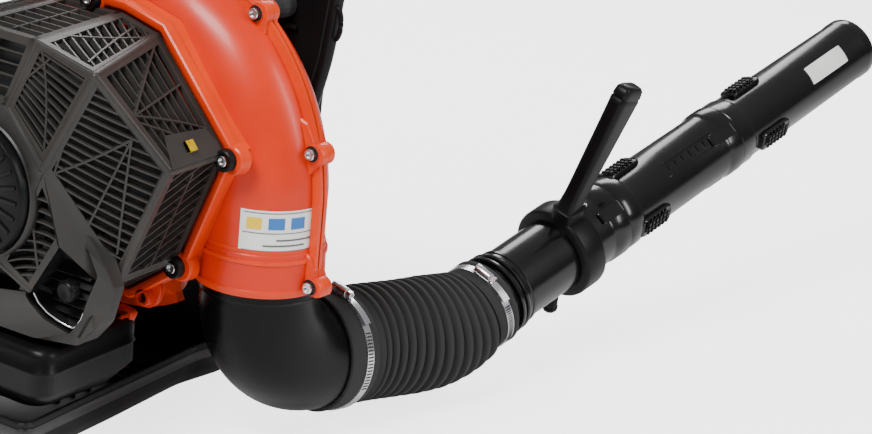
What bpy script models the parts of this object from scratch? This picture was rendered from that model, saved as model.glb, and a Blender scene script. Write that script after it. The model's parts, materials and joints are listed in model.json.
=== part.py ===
"""Backpack leaf blower: powerhead, volute fan housing, elbow, bellows and a telescoping blower tube.

The wearer faces +Y, +Z is up and the outlet side is +X. The ground is z = 0. The fan and crankshaft
share one axis parallel to Y. Lengths in this file are millimetres until metres() converts them.
"""
import math

import bmesh
import bpy
from mathutils import Vector

MM = 0.001
GAP = 0.3  # clearance between neighbouring pieces

# Powerhead and fan
AXIS_Z = 263.0  # height of the fan and crankshaft axis
SCROLL_OUTER = 216.0  # volute outer radius at the outlet
SCROLL_OUTER_END = 150.0  # volute outer radius at the tongue
SCROLL_TUBE = 58.0  # section radius at the outlet
SCROLL_TUBE_END = 22.0
SCROLL_SWEEP = 295.0  # degrees of scroll
WALL = 3.0
CHAMBER_R = 118.0
CHAMBER_Y = 52.0
BACK_PLATE_Y = -60.0
AXIS_OFFSET = 51.5  # the starter rope's place beside the axis
COVER_RIM_Y = -74.0
OUTLET_Z = 171.0  # lower edge of the outlet collar
FAN_R = 106.0
SHAFT_R = 8.0

# Air duct after the outlet
OUTLET_X = SCROLL_OUTER - SCROLL_TUBE
ELBOW_R = 55.0
ELBOW_BEND = 82.0
ELBOW_SPIGOT = 12.0
ELBOW_HEADING = 8.0  # degrees to the right of +Y
ELBOW_TURN = 86.0  # degrees from straight down
PIPE_HEADING = 8.0
PIPE_PITCH = 17.5
PIPE_START = Vector((217.5, 312.0, 87.2))
PIPE1_R = 39.5
PIPE2_R = 38.0
NOZZLE_R = 35.5
PIPE1_BORE = 37.2
PIPE2_BORE = 35.0
NOZZLE_BORE = 32.4
SPIGOT_WALL = 2.0
JOINT1_AT = 178.0  # along the pipe axis from PIPE_START
JOINT2_AT = 374.0
NOZZLE_END = 620.0
CUFF_LENGTH = 36.0
PAD_LENGTH = 48.0  # thumb pads beside each bayonet joint
PAD_TURNS = (-14.0, 106.0, 226.0)
PAD_ROOT = 2.4  # how deep a pad's foot sits in the pipe wall

# Frame
FRAME_Y0 = 108.0
FRAME_Y1 = 126.0

BLACK = (0.012, 0.012, 0.013)
CHARCOAL = (0.03, 0.03, 0.032)
GREY = (0.055, 0.052, 0.05)
ORANGE = (0.83, 0.07, 0.015)
STEEL = (0.62, 0.62, 0.62)
ALLOY = (0.5, 0.5, 0.51)
FABRIC = (0.02, 0.02, 0.022)
RED = (0.6, 0.02, 0.02)


def direction(heading, pitch):
    """Unit vector at `heading` degrees to the right of +Y, raised by `pitch` degrees."""
    turn = math.radians(heading)
    lift = math.radians(pitch)
    return Vector((math.sin(turn) * math.cos(lift), math.cos(turn) * math.cos(lift), math.sin(lift)))


ELBOW_DIR = direction(ELBOW_HEADING, ELBOW_TURN - 90)
PIPE_DIR = direction(PIPE_HEADING, PIPE_PITCH)


def finish(name, rgb, roughness, metallic=0.0):
    """The Principled material for one node."""
    material = bpy.data.materials.new(name + "_finish")
    material.use_nodes = True
    shader = material.node_tree.nodes["Principled BSDF"]
    shader.inputs["Base Color"].default_value = (*rgb, 1)
    shader.inputs["Roughness"].default_value = roughness
    shader.inputs["Metallic"].default_value = metallic
    material.diffuse_color = (*rgb, 1)
    return material


def piece(name, mesh_data, look, origin=(0, 0, 0), smooth=40.0):
    """Links bmesh geometry in millimetres as one object whose origin is at `origin`."""
    bmesh.ops.recalc_face_normals(mesh_data, faces=mesh_data.faces)
    base = Vector(origin)
    for vertex in mesh_data.verts:
        vertex.co = (vertex.co - base) * MM
    mesh = bpy.data.meshes.new(name)
    mesh_data.to_mesh(mesh)
    mesh_data.free()
    obj = bpy.data.objects.new(name, mesh)
    obj.location = base * MM
    bpy.context.scene.collection.objects.link(obj)
    if look is not None:
        mesh.materials.append(finish(name, *look))
    if smooth:
        mesh.shade_smooth()
        mesh.set_sharp_from_angle(angle=math.radians(smooth))
    return obj


def loft(loops, closed_ring=False):
    """A closed body through equal loops of points; the first and last loops are capped."""
    shape = bmesh.new()
    rows = [[shape.verts.new(Vector(point)) for point in loop] for loop in loops]
    count = len(rows[0])
    pairs = list(zip(rows, rows[1:]))
    if closed_ring:
        pairs.append((rows[-1], rows[0]))
    for low, high in pairs:
        for index in range(count):
            after = (index + 1) % count
            shape.faces.new((low[index], low[after], high[after], high[index]))
    if not closed_ring:
        shape.faces.new(rows[0])
        shape.faces.new(rows[-1])
    return shape


def frame_of(axis):
    """Two unit vectors square to `axis`, the first one as level as it can be."""
    forward = Vector(axis).normalized()
    level = forward.cross(Vector((0, 0, 1)))
    if level.length < 1e-6:
        level = Vector((1, 0, 0))
    level.normalize()
    return level, level.cross(forward).normalized()


def circle(centre, axis, radius, sides=20):
    """Points of a circle square to `axis`."""
    across, up = frame_of(axis)
    turns = [2 * math.pi * step / sides for step in range(sides)]
    return [Vector(centre) + radius * (across * math.cos(turn) + up * math.sin(turn)) for turn in turns]


def box(low, high):
    """An axis-aligned block between two corners."""
    (x0, y0, z0), (x1, y1, z1) = low, high
    floor = [(x0, y0, z0), (x1, y0, z0), (x1, y1, z0), (x0, y1, z0)]
    return loft([floor, [(x, y, z1) for x, y, _ in floor]])


def prism_y(outline, y0, y1):
    """An (x, z) outline drawn out along Y."""
    return loft([[(x, y0, z) for x, z in outline], [(x, y1, z) for x, z in outline]])


def prism_z(outline, z0, z1):
    """An (x, y) outline drawn out along Z."""
    return loft([[(x, y, z0) for x, y in outline], [(x, y, z1) for x, y in outline]])


def lathe(start, axis, profile, sides=20):
    """A turned solid: `profile` holds (distance along the axis, radius) with every radius above zero."""
    along = Vector(axis).normalized()
    return loft([circle(Vector(start) + along * at, along, radius, sides) for at, radius in profile])


def turned_ring(start, axis, profile, sides=20):
    """A turned ring: `profile` is a closed loop of (distance, radius) that keeps off the axis."""
    along = Vector(axis).normalized()
    return loft(
        [circle(Vector(start) + along * at, along, radius, sides) for at, radius in profile],
        closed_ring=True,
    )


def sleeve(start, axis, length, outer, inner, sides=20):
    """A plain hollow cylinder."""
    profile = [(0, outer), (length, outer), (length, inner), (0, inner)]
    return turned_ring(start, axis, profile, sides)


def cut(target, cutter_mesh, operation="DIFFERENCE"):
    """Adds a Boolean whose operand stays in the scene as a wire guide."""
    guide = piece(f"{target.name}_guide_{len(target.modifiers)}", cutter_mesh, None, smooth=0)
    guide.display_type = "WIRE"
    guide.hide_render = True
    step = target.modifiers.new(f"{operation.lower()}_{len(target.modifiers)}", "BOOLEAN")
    step.operation = operation
    step.solver = "EXACT"
    step.object = guide
    return guide


def mirrored(half):
    """A closed outline from its right half, listed top to bottom."""
    return half + [(-x, *rest) for x, *rest in reversed(half)]


# ---------------------------------------------------------------- volute

def scroll_station(degrees):
    """Centre and radius of the scroll section at an angle from the outlet side."""
    share = degrees / SCROLL_SWEEP
    outer = SCROLL_OUTER + (SCROLL_OUTER_END - SCROLL_OUTER) * share
    tube = SCROLL_TUBE + (SCROLL_TUBE_END - SCROLL_TUBE) * share
    turn = math.radians(degrees)
    reach = outer - tube
    centre = Vector((reach * math.cos(turn), 0, AXIS_Z + reach * math.sin(turn)))
    tangent = Vector((-math.sin(turn), 0, math.cos(turn)))
    return centre, tangent, tube


def scroll(inset, drop, sides=16, steps=13):
    """The scroll as one solid, its walls moved in by `inset`, its outlet lengthened by `drop`."""
    stations = [(Vector((OUTLET_X, 0, OUTLET_Z - drop)), Vector((0, 0, 1)), SCROLL_TUBE)]
    stations += [scroll_station(SCROLL_SWEEP * step / steps) for step in range(steps + 1)]
    level = Vector((0, 1, 0))
    turns = [2 * math.pi * side / sides for side in range(sides)]
    loops = []
    for centre, tangent, tube in stations:
        across = level.cross(tangent)
        spokes = [across * math.cos(turn) + level * math.sin(turn) for turn in turns]
        loops.append([centre + (tube - inset) * spoke for spoke in spokes])
    return loft(loops)


def seam_outline():
    """Outline of the seam flange, 9 mm outside the scroll, closed across the outlet."""
    rim = 9.0
    points = [(OUTLET_X + SCROLL_TUBE + rim, OUTLET_Z + 22)]
    steps = 20
    for step in range(steps + 1):
        degrees = SCROLL_SWEEP * step / steps
        centre, _, tube = scroll_station(degrees)
        turn = math.radians(degrees)
        reach = (centre - Vector((0, 0, AXIS_Z))).length + tube + rim
        points.append((reach * math.cos(turn), AXIS_Z + reach * math.sin(turn)))
    points.append((OUTLET_X - SCROLL_TUBE + 12, OUTLET_Z + 22))
    return points


COVER_RIM = [(35, 408), (79, 398), (164, 307), (116, 190), (60, 150)]


def grown(outline, amount, centre=(0, AXIS_Z)):
    """An outline moved outwards from its centre by a set amount."""
    points = []
    for x, z in outline:
        offset = Vector((x - centre[0], z - centre[1]))
        points.append(tuple(Vector(centre) + offset * (1 + amount / offset.length)))
    return points


def seam_bosses():
    """(x, z) of the seam screws: one on the outlet collar, the others spaced round the scroll."""
    places = [(OUTLET_X + SCROLL_TUBE + 8.5, OUTLET_Z + 9)]
    for degrees in (11.4, 48.6, 95, 140, 200, 260):
        centre, _, tube = scroll_station(degrees)
        turn = math.radians(degrees)
        reach = (centre - Vector((0, 0, AXIS_Z))).length + tube + 6
        places.append((reach * math.cos(turn), AXIS_Z + reach * math.sin(turn)))
    return places


def volute_half(name, sign):
    """One moulded half of the housing; sign is -1 for the engine side and +1 for the wearer side."""
    look = (ORANGE, 0.32)
    half = piece(name, scroll(0, 0), look, smooth=35)
    cut(half, lathe((0, -CHAMBER_Y, AXIS_Z), (0, 1, 0), [(0, CHAMBER_R), (2 * CHAMBER_Y, CHAMBER_R)], 32),
        "UNION")
    cut(half, prism_y(seam_outline(), -5, 5), "UNION")
    for x, z in seam_bosses():
        cut(half, lathe((x, -11, z), (0, 1, 0), [(0, 8), (22, 8)], 12), "UNION")
    if sign < 0:
        plate = grown(mirrored(COVER_RIM), 12)
        cut(half, prism_y(plate, COVER_RIM_Y, -49), "UNION")
        cut(half, prism_y(grown(mirrored(COVER_RIM), 4), COVER_RIM_Y - 5, BACK_PLATE_Y), "DIFFERENCE")
    collar = lathe((OUTLET_X, 0, OUTLET_Z), (0, 0, 1), [(0, 60.5), (38, 60.5)], 24)
    cut(half, collar, "UNION")
    cut(half, scroll(WALL, 10))
    inner = CHAMBER_Y - WALL
    drum = [(0, CHAMBER_R - WALL), (2 * inner, CHAMBER_R - WALL)]
    cut(half, lathe((0, -inner, AXIS_Z), (0, 1, 0), drum, 32))
    if sign < 0:
        cut(half, lathe((0, -80, AXIS_Z), (0, 1, 0), [(0, 30), (40, 30)], 20))
        cut(half, box((-400, -0.15, -100), (400, 200, 700)))
    else:
        cut(half, lathe((0, 40, AXIS_Z), (0, 1, 0), [(0, 78), (40, 78)], 28))
        cut(half, box((-400, -200, -100), (400, 0.15, 700)))
    return half


# ---------------------------------------------------------------- rotating group

def impeller():
    """Back disc, hub and backward-swept blades as one casting."""
    blades = 10
    outline = []
    for blade in range(blades):
        base = 2 * math.pi * blade / blades
        for offset, radius in ((0.0, 46), (-0.33, FAN_R), (-0.26, FAN_R), (0.1, 46)):
            turn = base + offset
            outline.append((radius * math.cos(turn), AXIS_Z + radius * math.sin(turn)))
    body = piece("impeller", prism_y(outline, -34, 30), (CHARCOAL, 0.5))
    cut(body, lathe((0, -40, AXIS_Z), (0, 1, 0), [(0, FAN_R), (7, FAN_R)], 32), "UNION")
    cut(body, lathe((0, -60, AXIS_Z), (0, 1, 0), [(0, SHAFT_R + GAP), (120, SHAFT_R + GAP)], 16))
    return body


def rotating_group():
    """Fan, shaft, flywheel and starter cup, which all turn together."""
    impeller()
    web = 26
    profile = [(0, 5), (30, 5), (30, SHAFT_R), (70, SHAFT_R), (70, web), (80, web), (80, 6), (92, 6),
               (92, web), (102, web), (102, SHAFT_R), (208, SHAFT_R)]
    piece("crankshaft", lathe((0, -178, AXIS_Z), (0, 1, 0), profile, 16), (STEEL, 0.3, 1.0))
    rim = [(0, 50), (14, 50), (14, SHAFT_R + GAP), (0, SHAFT_R + GAP)]
    piece("flywheel", turned_ring((0, -142, AXIS_Z), (0, 1, 0), rim, 24), (ALLOY, 0.4, 1.0))
    bore = (5 + GAP) / math.cos(math.pi / 6)
    nut = [(0, 8.5), (7, 8.5), (7, bore), (0, bore)]
    piece("flywheel_nut", turned_ring((0, -158, AXIS_Z), (0, 1, 0), nut, 6), (STEEL, 0.35, 1.0), smooth=0)


# ---------------------------------------------------------------- engine

def engine():
    """Crankcase, finned cylinder and what is bolted to them."""
    solid = box((-38, -116, 220), (38, BACK_PLATE_Y - GAP, 306))
    case = piece("crankcase", solid, (ALLOY, 0.45, 1.0), smooth=0)
    cut(case, lathe((0, -130, AXIS_Z), (0, 1, 0), [(0, SHAFT_R + GAP), (90, SHAFT_R + GAP)], 16))
    cut(case, lathe((0, -111, AXIS_Z), (0, 1, 0), [(0, 29), (39, 29)], 20))
    cut(case, lathe((0, -94, AXIS_Z + 10), (0, 0, 1), [(0, 17), (50, 17)], 20))
    fins = []
    for level in range(7):
        base = 306 + GAP + 8 + level * 9
        fins += [(24, base), (40, base), (40, base + 3), (24, base + 3)]
    half = [(24, 306 + GAP)] + fins + [(24, 380)]
    solid = prism_y(mirrored(list(reversed(half))), -124, -64)
    cylinder = piece("cylinder", solid, (ALLOY, 0.45, 1.0), smooth=0)
    cut(cylinder, lathe((0, -94, 300), (0, 0, 1), [(0, 17), (62, 17)], 20))
    piece("piston", lathe((0, -94, 296.5), (0, 0, 1), [(0, 16.6), (26, 16.6)], 20), (ALLOY, 0.35, 1.0))
    boot = lathe((0, -94, 380 + GAP), (0, 0, 1), [(0, 9), (12, 9), (16, 6)], 12)
    piece("spark_plug_boot", boot, (BLACK, 0.6))
    piece("ignition_coil", box((-30, -138, 316), (30, -125, 342)), (BLACK, 0.5), smooth=0)
    muffler = piece("muffler", box((40, -126, 186), (90, -78, 238)), (STEEL, 0.5, 1.0), smooth=0)
    cut(muffler, box((42, -124, 188), (88, -80, 236)))
    cut(muffler, lathe((65, -136, 200), (0, 1, 0), [(0, 9), (50, 9)], 12))
    shroud = piece("exhaust_shroud", box((42, -192, 132), (104, -150, 210)), (CHARCOAL, 0.5), smooth=0)
    cut(shroud, box((47, -200, 138), (99, -156, 204)))
    cut(shroud, lathe((70, -160, 204 - 22), (0, 1, 0), [(0, 10), (20, 10)], 16))
    knob = [(-17.5, 4), (0, 4), (0, 10), (10, 10), (12, 8)]
    piece("exhaust_knob", lathe((82, -174, 178), (0, -1, 0), knob, 16), (BLACK, 0.35))
    carburettor = piece("carburettor", box((-92, -124, 226), (-48, -78, 268)), (ALLOY, 0.4, 1.0), smooth=0)
    cut(carburettor, lathe((-80, -130, 250), (0, 1, 0), [(0, 9.6), (14, 9.6)], 14))
    piece("intake_manifold", box((-47.6, -112, 232), (-38.4, -84, 262)), (BLACK, 0.6), smooth=0)


def starter():
    """Recoil starter housing, its pull handle and the rope that joins them."""
    shell = [(0, 30), (0, 62), (44, 62), (44, 57), (6, 57), (6, 30)]
    housing = piece("starter_housing", turned_ring((0, -226, AXIS_Z), (0, 1, 0), shell, 28), (BLACK, 0.4))
    cut(housing, box((-40, -210, AXIS_Z - 70), (-20, -196, AXIS_Z - 40)))
    at = -AXIS_OFFSET
    cut(housing, lathe((at, -240, AXIS_Z), (0, 1, 0), [(0, 2.4), (40, 2.4)], 12))
    piece("starter_rope", lathe((at, -229.7, AXIS_Z), (0, 1, 0), [(0, 1.6), (44, 1.6)], 10), (FABRIC, 0.8))
    grip = piece("starter_grip", box((at - 8, -244, AXIS_Z - 22), (at + 8, -230, AXIS_Z + 22)), (BLACK, 0.6),
                 origin=(at, -230, AXIS_Z), smooth=0)
    edges = grip.modifiers.new("edges", "BEVEL")
    edges.width = 4 * MM
    edges.segments = 2
    reel = [(0, 12), (0, 46), (4, 46), (4, 40), (14, 40), (14, 46), (18, 46), (18, 12)]
    piece("starter_reel", turned_ring((0, -210, AXIS_Z), (0, 1, 0), reel, 20), (CHARCOAL, 0.5))


# ---------------------------------------------------------------- engine cover

RIDGE = [(40, -190, 403), (108, -188, 388), (162, -143, 304), (109, -143, 184), (58, -150, 150)]
PLATEAU = [(30, -214, 345), (56, -214, 330), (74, -214, 298), (62, -214, 222), (28, -214, 196)]


def cover_loops(inset):
    """The three loops of the faceted cover, moved in by `inset` from every face."""
    centre = Vector((0, 0, AXIS_Z))
    loops = []
    rim = [(x, COVER_RIM_Y + 2, z) for x, z in COVER_RIM]
    for row, depth in ((rim, 0), (RIDGE, inset), (PLATEAU, inset)):
        loop = []
        for x, y, z in mirrored(row):
            flat = Vector((x, 0, z)) - centre
            shrunk = centre + flat * (1 - inset / flat.length)
            loop.append((shrunk.x, y + depth, shrunk.z))
        loops.append(loop)
    return loops


def engine_cover():
    """The faceted guard over the engine, open towards the fan and round the starter."""
    cover = piece("engine_cover", loft(cover_loops(0)), (GREY, 0.42), smooth=0)
    inner = cover_loops(3.0)
    inner[0] = [(x, COVER_RIM_Y + 12, z) for x, _, z in inner[0]]
    cut(cover, loft(inner))
    cut(cover, lathe((0, -240, AXIS_Z), (0, 1, 0), [(0, 62.6), (70, 62.6)], 28))
    cut(cover, box((41.7, -240, 100), (150, -149.7, 210.3)))
    cut(cover, box((-180, -134, 233), (-91, -118, 247)))


# ---------------------------------------------------------------- frame, tank and harness

def frame_outline():
    """(x, z) outline of the back frame, waisted on the duct side."""
    foot = TRAY_FLOOR + GAP
    right = [(60, 484), (112, 470), (139, 448), (128, 356), (104, 262), (66, 186), (46, 136), (30, 80),
             (18, foot)]
    left = [(-104, foot), (-116, 186), (-124, 262), (-134, 356), (-142, 448), (-112, 470), (-60, 484)]
    return right + left


TRAY_FRONT = 130.0
TRAY_FLOOR = 5.0


def base_loop(z, spread):
    """Outline of the base tray at one height; its right edge slants inwards towards the front."""
    right = [(26, TRAY_FRONT), (20, 60), (32, -50), (44, -188)]
    left = [(-112, -188), (-126, -60), (-116, TRAY_FRONT)]
    return [(x + spread * math.copysign(1, x), y + spread * math.copysign(1, y), z) for x, y in right + left]


def frame():
    """Base tray, back frame, isolators and the engine bracket."""
    shell = loft([base_loop(0, 0), base_loop(14, 7), base_loop(45, 13)])
    tray = piece("base_tray", shell, (BLACK, 0.45), smooth=0)
    cut(tray, loft([base_loop(TRAY_FLOOR, -3), base_loop(14, 3), base_loop(46, 9)]))
    back = piece("back_frame", prism_y(frame_outline(), FRAME_Y0, FRAME_Y1), (BLACK, 0.45), smooth=0)
    cut(back, box((-48, 100, 446), (48, 140, 468)))
    cut(back, lathe((0, 100, AXIS_Z), (0, 1, 0), [(0, 70), (40, 70)], 24))
    bevel = back.modifiers.new("edges", "BEVEL")
    bevel.width = 2 * MM
    bevel.segments = 1
    bevel.limit_method = "ANGLE"
    for name, x, z in (("isolator_upper_left", -96, 400), ("isolator_upper_right", 84, 400),
                       ("isolator_lower_left", -90, 120)):
        spool = [(0, 13), (10, 13), (16, 10), (26, 10), (32, 13), (41.7, 13)]
        piece(name, lathe((x, 66, z), (0, 1, 0), spool, 14), (BLACK, 0.7))
    slats = piece("intake_guard", sleeve((0, CHAMBER_Y + GAP, AXIS_Z), (0, 1, 0), 12, 90, 74), (BLACK, 0.45))
    for step in range(5):
        z = AXIS_Z - 50 + step * 25
        reach = math.sqrt(82 * 82 - (z - AXIS_Z) ** 2)
        cut(slats, box((-reach, 56, z - 2), (reach, 61, z + 2)), "UNION")
    cut(slats, box((-3, 55, AXIS_Z - 82), (3, 60, AXIS_Z + 82)), "UNION")


TANK_Y = -126.0  # the tank's middle
TANK_INSIDE = 0.94  # its inner size as a share of the outer


def tank():
    """Fuel tank below the engine and its screw cap."""
    low = [(44, -172), (44, -66), (-96, -66), (-96, -172)]
    high = [(74, -198), (66, -54), (-104, -54), (-104, -198)]
    loops = [[(x, y, z) for x, y in ring] for ring, z in ((low, 47), (high, 74), (high, 118))]
    body = piece("fuel_tank", loft(loops), (BLACK, 0.3), smooth=0)
    cut(body, lathe((-78, -150, 100), (0, 0, 1), [(0, 14), (40, 14)], 20))
    hollow = []
    for ring, z in ((low, 51), (high, 78), (high, 112)):
        hollow.append([(x * TANK_INSIDE, TANK_Y + (y - TANK_Y) * TANK_INSIDE, z) for x, y in ring])
    cut(body, loft(hollow))
    cap = [(0, 13.5), (GAP + 18, 13.5), (GAP + 18, 24), (GAP + 34, 22)]
    piece("fuel_cap", lathe((-78, -150, 100), (0, 0, 1), cap, 20), (BLACK, 0.5), origin=(-78, -150, 100))


def harness():
    """Back pad, shoulder straps and their adjusters."""
    pad = [(90, 430), (96, 380), (92, 220), (78, 190)]
    cushion = piece("back_pad", prism_y(mirrored(pad), FRAME_Y1 + GAP, 148), (FABRIC, 0.9), smooth=0)
    bevel = cushion.modifiers.new("edges", "BEVEL")
    bevel.width = 6 * MM
    bevel.segments = 2
    bevel.limit_method = "ANGLE"
    for side, name in ((-1, "left"), (1, "right")):
        path = [(452, 149), (440, 162), (380, 172), (300, 174), (220, 170), (180, 160)]
        loops = []
        for z, y in path:
            x0 = side * 34
            x1 = side * 86
            loops.append([(x0, y, z), (x1, y, z), (x1, y + 12, z + 5), (x0, y + 12, z + 5)])
        piece(f"shoulder_strap_{name}", loft(loops), (FABRIC, 0.9), smooth=0)
        anchor = box((min(x0, x1), FRAME_Y1 + GAP, 444), (max(x0, x1), 148.6, 462))
        piece(f"strap_anchor_{name}", anchor, (BLACK, 0.4), smooth=0)


# ---------------------------------------------------------------- controls

HIP_PIVOT = Vector((-150, 96, 230))
GRIP_X = -157.0  # clear of the back frame when the arm folds up
SERVICE_Y = -120.3  # face of the air cleaner and carburettor


def controls():
    """Hip throttle arm on the left side with its trigger and stop switch, choke and purge bulb."""
    bracket = [(-142, 210), (-124, 210), (-124, 250), (-142, 250)]
    piece("throttle_bracket", prism_y(bracket, 84, FRAME_Y0 - GAP), (BLACK, 0.45), smooth=0)
    arm = [(84, 218), (108, 218), (110, 236), (230, 248), (232, 266), (108, 258), (84, 248)]
    loops = [[(x, y, z) for y, z in arm] for x in (-158, -142.3)]
    piece("throttle_arm", loft(loops), (BLACK, 0.4), origin=HIP_PIVOT, smooth=0)
    grip = [(232.3, 240), (318, 250), (322, 262), (316, 276), (232.3, 272)]
    loops = [[(x, y, z) for y, z in grip] for x in (GRIP_X - 13, GRIP_X + 13)]
    body = piece("throttle_grip", loft(loops), (BLACK, 0.55), origin=HIP_PIVOT, smooth=0)
    cut(body, box((GRIP_X - 5, 255, 230), (GRIP_X + 5, 300, 258)))
    cut(body, box((GRIP_X - 5, 294, 261.5), (GRIP_X + 5, 308, 290)))
    lever = [(258, 246), (296, 240), (296, 250), (262, 256)]
    loops = [[(x, y, z) for y, z in lever] for x in (GRIP_X - 4.6, GRIP_X + 4.6)]
    piece("throttle_trigger", loft(loops), (BLACK, 0.4), origin=(GRIP_X, 258, 250), smooth=0)
    button = box((GRIP_X - 4.6, 294.4, 266.3), (GRIP_X + 4.6, 307.6, 281))
    piece("stop_switch", button, (RED, 0.4), origin=(GRIP_X, 301, 272), smooth=0)
    lever = box((-134, -130, 236), (-92.4, -122, 244))
    piece("choke_lever", lever, (BLACK, 0.4), origin=(-96, -126, 240), smooth=0)
    dome = [(0, 9), (4, 9), (8, 7), (10, 3)]
    at = (-80, SERVICE_Y, 250)
    piece("purge_bulb", lathe(at, (0, -1, 0), dome, 14), (ALLOY, 0.2), origin=at)
    piece("air_cleaner", box((-118, -120, 272), (-46, -64, 330)), (BLACK, 0.4), smooth=0)
    knob = [(0, 11), (8, 11), (12, 9)]
    at = (-80, SERVICE_Y, 302)
    piece("air_cleaner_knob", lathe(at, (0, -1, 0), knob, 14), (BLACK, 0.5), origin=at)


# ---------------------------------------------------------------- elbow and bellows

def elbow_path(steps):
    """Centre and direction of the elbow, from the outlet collar to its exit."""
    start = Vector((OUTLET_X, 0, OUTLET_Z - GAP))
    flat = direction(ELBOW_HEADING, 0)
    stations = [(start, Vector((0, 0, -1)))]
    top = start + Vector((0, 0, -12))
    for step in range(steps + 1):
        turn = math.radians(ELBOW_TURN * step / steps)
        centre = top + ELBOW_BEND * (flat * (1 - math.cos(turn)) - Vector((0, 0, 1)) * math.sin(turn))
        heading = flat * math.sin(turn) - Vector((0, 0, 1)) * math.cos(turn)
        stations.append((centre, heading))
    stations.append((centre + heading * ELBOW_SPIGOT, heading))
    return stations


ELBOW_END, ELBOW_OUT = elbow_path(1)[-1]


def oriented_ring(centre, heading, radius, sides):
    """A ring whose first point stays on the duct's right side, so that lofted rings never twist."""
    across = Vector((1, 0, 0)) - heading * heading.x
    across.normalize()
    up = across.cross(heading)
    turns = [2 * math.pi * step / sides for step in range(sides)]
    return [centre + radius * (across * math.cos(turn) + up * math.sin(turn)) for turn in turns]


def duct(stations, sides=16):
    """A hollow duct: stations hold centre, heading, outer radius and inner radius."""
    outer = [oriented_ring(centre, heading, big, sides) for centre, heading, big, _ in stations]
    inner = [oriented_ring(centre, heading, small, sides) for centre, heading, _, small in stations]
    return loft(outer + list(reversed(inner)), closed_ring=True)


def bellows_point(share):
    """Centre and heading on the bellows curve, a Hermite curve from the elbow to the pipe."""
    start = ELBOW_END + ELBOW_OUT * CUFF_LENGTH
    end = PIPE_START - PIPE_DIR * CUFF_LENGTH
    span = (end - start).length
    lead = ELBOW_OUT * span
    tail = PIPE_DIR * span
    square = share * share
    cube = square * share
    centre = ((2 * cube - 3 * square + 1) * start + (cube - 2 * square + share) * lead
              + (3 * square - 2 * cube) * end + (cube - square) * tail)
    heading = ((6 * square - 6 * share) * start + (3 * square - 4 * share + 1) * lead
               + (6 * share - 6 * square) * end + (3 * square - 2 * share) * tail)
    return centre, heading.normalized()


def bellows_half(name, first, last, ribs):
    """Half of the bellows between two shares of its curve, ribbed outside and in."""
    stations = []
    for step in range(2 * ribs + 1):
        share = first + (last - first) * step / (2 * ribs)
        centre, heading = bellows_point(share)
        size = 57.0 if share < 0.7 else 57.0 - (share - 0.7) / 0.3 * 8.0
        outer = size if step % 2 else size - 5.0
        stations.append((centre, heading, outer, size - 9.0))
    if first == 0:
        cuff = [(ELBOW_END - ELBOW_OUT * 12, ELBOW_OUT, 59.0, ELBOW_R + GAP)]
        cuff.append((ELBOW_END + ELBOW_OUT * 24, ELBOW_OUT, 59.0, ELBOW_R + GAP))
        stations = cuff + stations
    else:
        inner = (PIPE1_R + 2 * GAP) / math.cos(math.pi / 16)
        stations += [(PIPE_START - PIPE_DIR * 30, PIPE_DIR, 44.5, inner),
                     (PIPE_START - PIPE_DIR * 4, PIPE_DIR, 44.5, inner)]
    piece(name, duct(stations), (BLACK, 0.5))


def air_duct():
    """Elbow, bellows with its clamps, and the ring that stiffens the bellows' middle."""
    stations = [(c, h, ELBOW_R if i else 57.5, 50.0) for i, (c, h) in enumerate(elbow_path(7))]
    piece("elbow", duct(stations), (CHARCOAL, 0.38))
    bellows_half("bellows_rear", 0.0, 0.5 - 0.025, 6)
    bellows_half("bellows_front", 0.5 + 0.025, 1.0, 6)
    centre, heading = bellows_point(0.5)
    ring = turned_ring(centre - heading * 2.6, heading, [(0, 56.5), (5.2, 56.5), (5.2, 48), (0, 48)], 20)
    piece("bellows_ring", ring, (BLACK, 0.5), origin=centre)
    clamp("clamp_large", ELBOW_END + ELBOW_OUT * 6, ELBOW_OUT, 59.0 + GAP)
    clamp("clamp_small", PIPE_START - PIPE_DIR * 24, PIPE_DIR, 44.5 + GAP)


def clamp(name, start, axis, inner):
    """A worm-drive hose clamp: a steel band with its screw housing on top."""
    inner = inner / math.cos(math.pi / 20)
    band = piece(name, sleeve(start, axis, 9, inner + 1.4, inner), (STEEL, 0.25, 1.0))
    lift = Vector((0, 0, 1)) - Vector(axis) * axis.z
    lift.normalize()
    side = Vector(axis).cross(lift)
    foot = Vector(start) + Vector(axis) * 4.5 + lift * (inner + 0.7)
    loop = []
    for away, along in ((-12, -5), (12, -5), (12, 5), (-12, 5)):
        loop.append(foot + side * away + Vector(axis) * along)
    cut(band, loft([loop, [point + lift * 9 for point in loop]]), "UNION")


# ---------------------------------------------------------------- blower tube

def along_pipe(distance):
    """A point on the blower tube's axis."""
    return PIPE_START + PIPE_DIR * distance


PIPE_SIDE, PIPE_UP = frame_of(PIPE_DIR)


def spigot(bore):
    """Outer radius of a 20-sided spigot that turns freely in a 20-sided bore."""
    return bore * math.cos(math.pi / 20) - GAP


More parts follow.
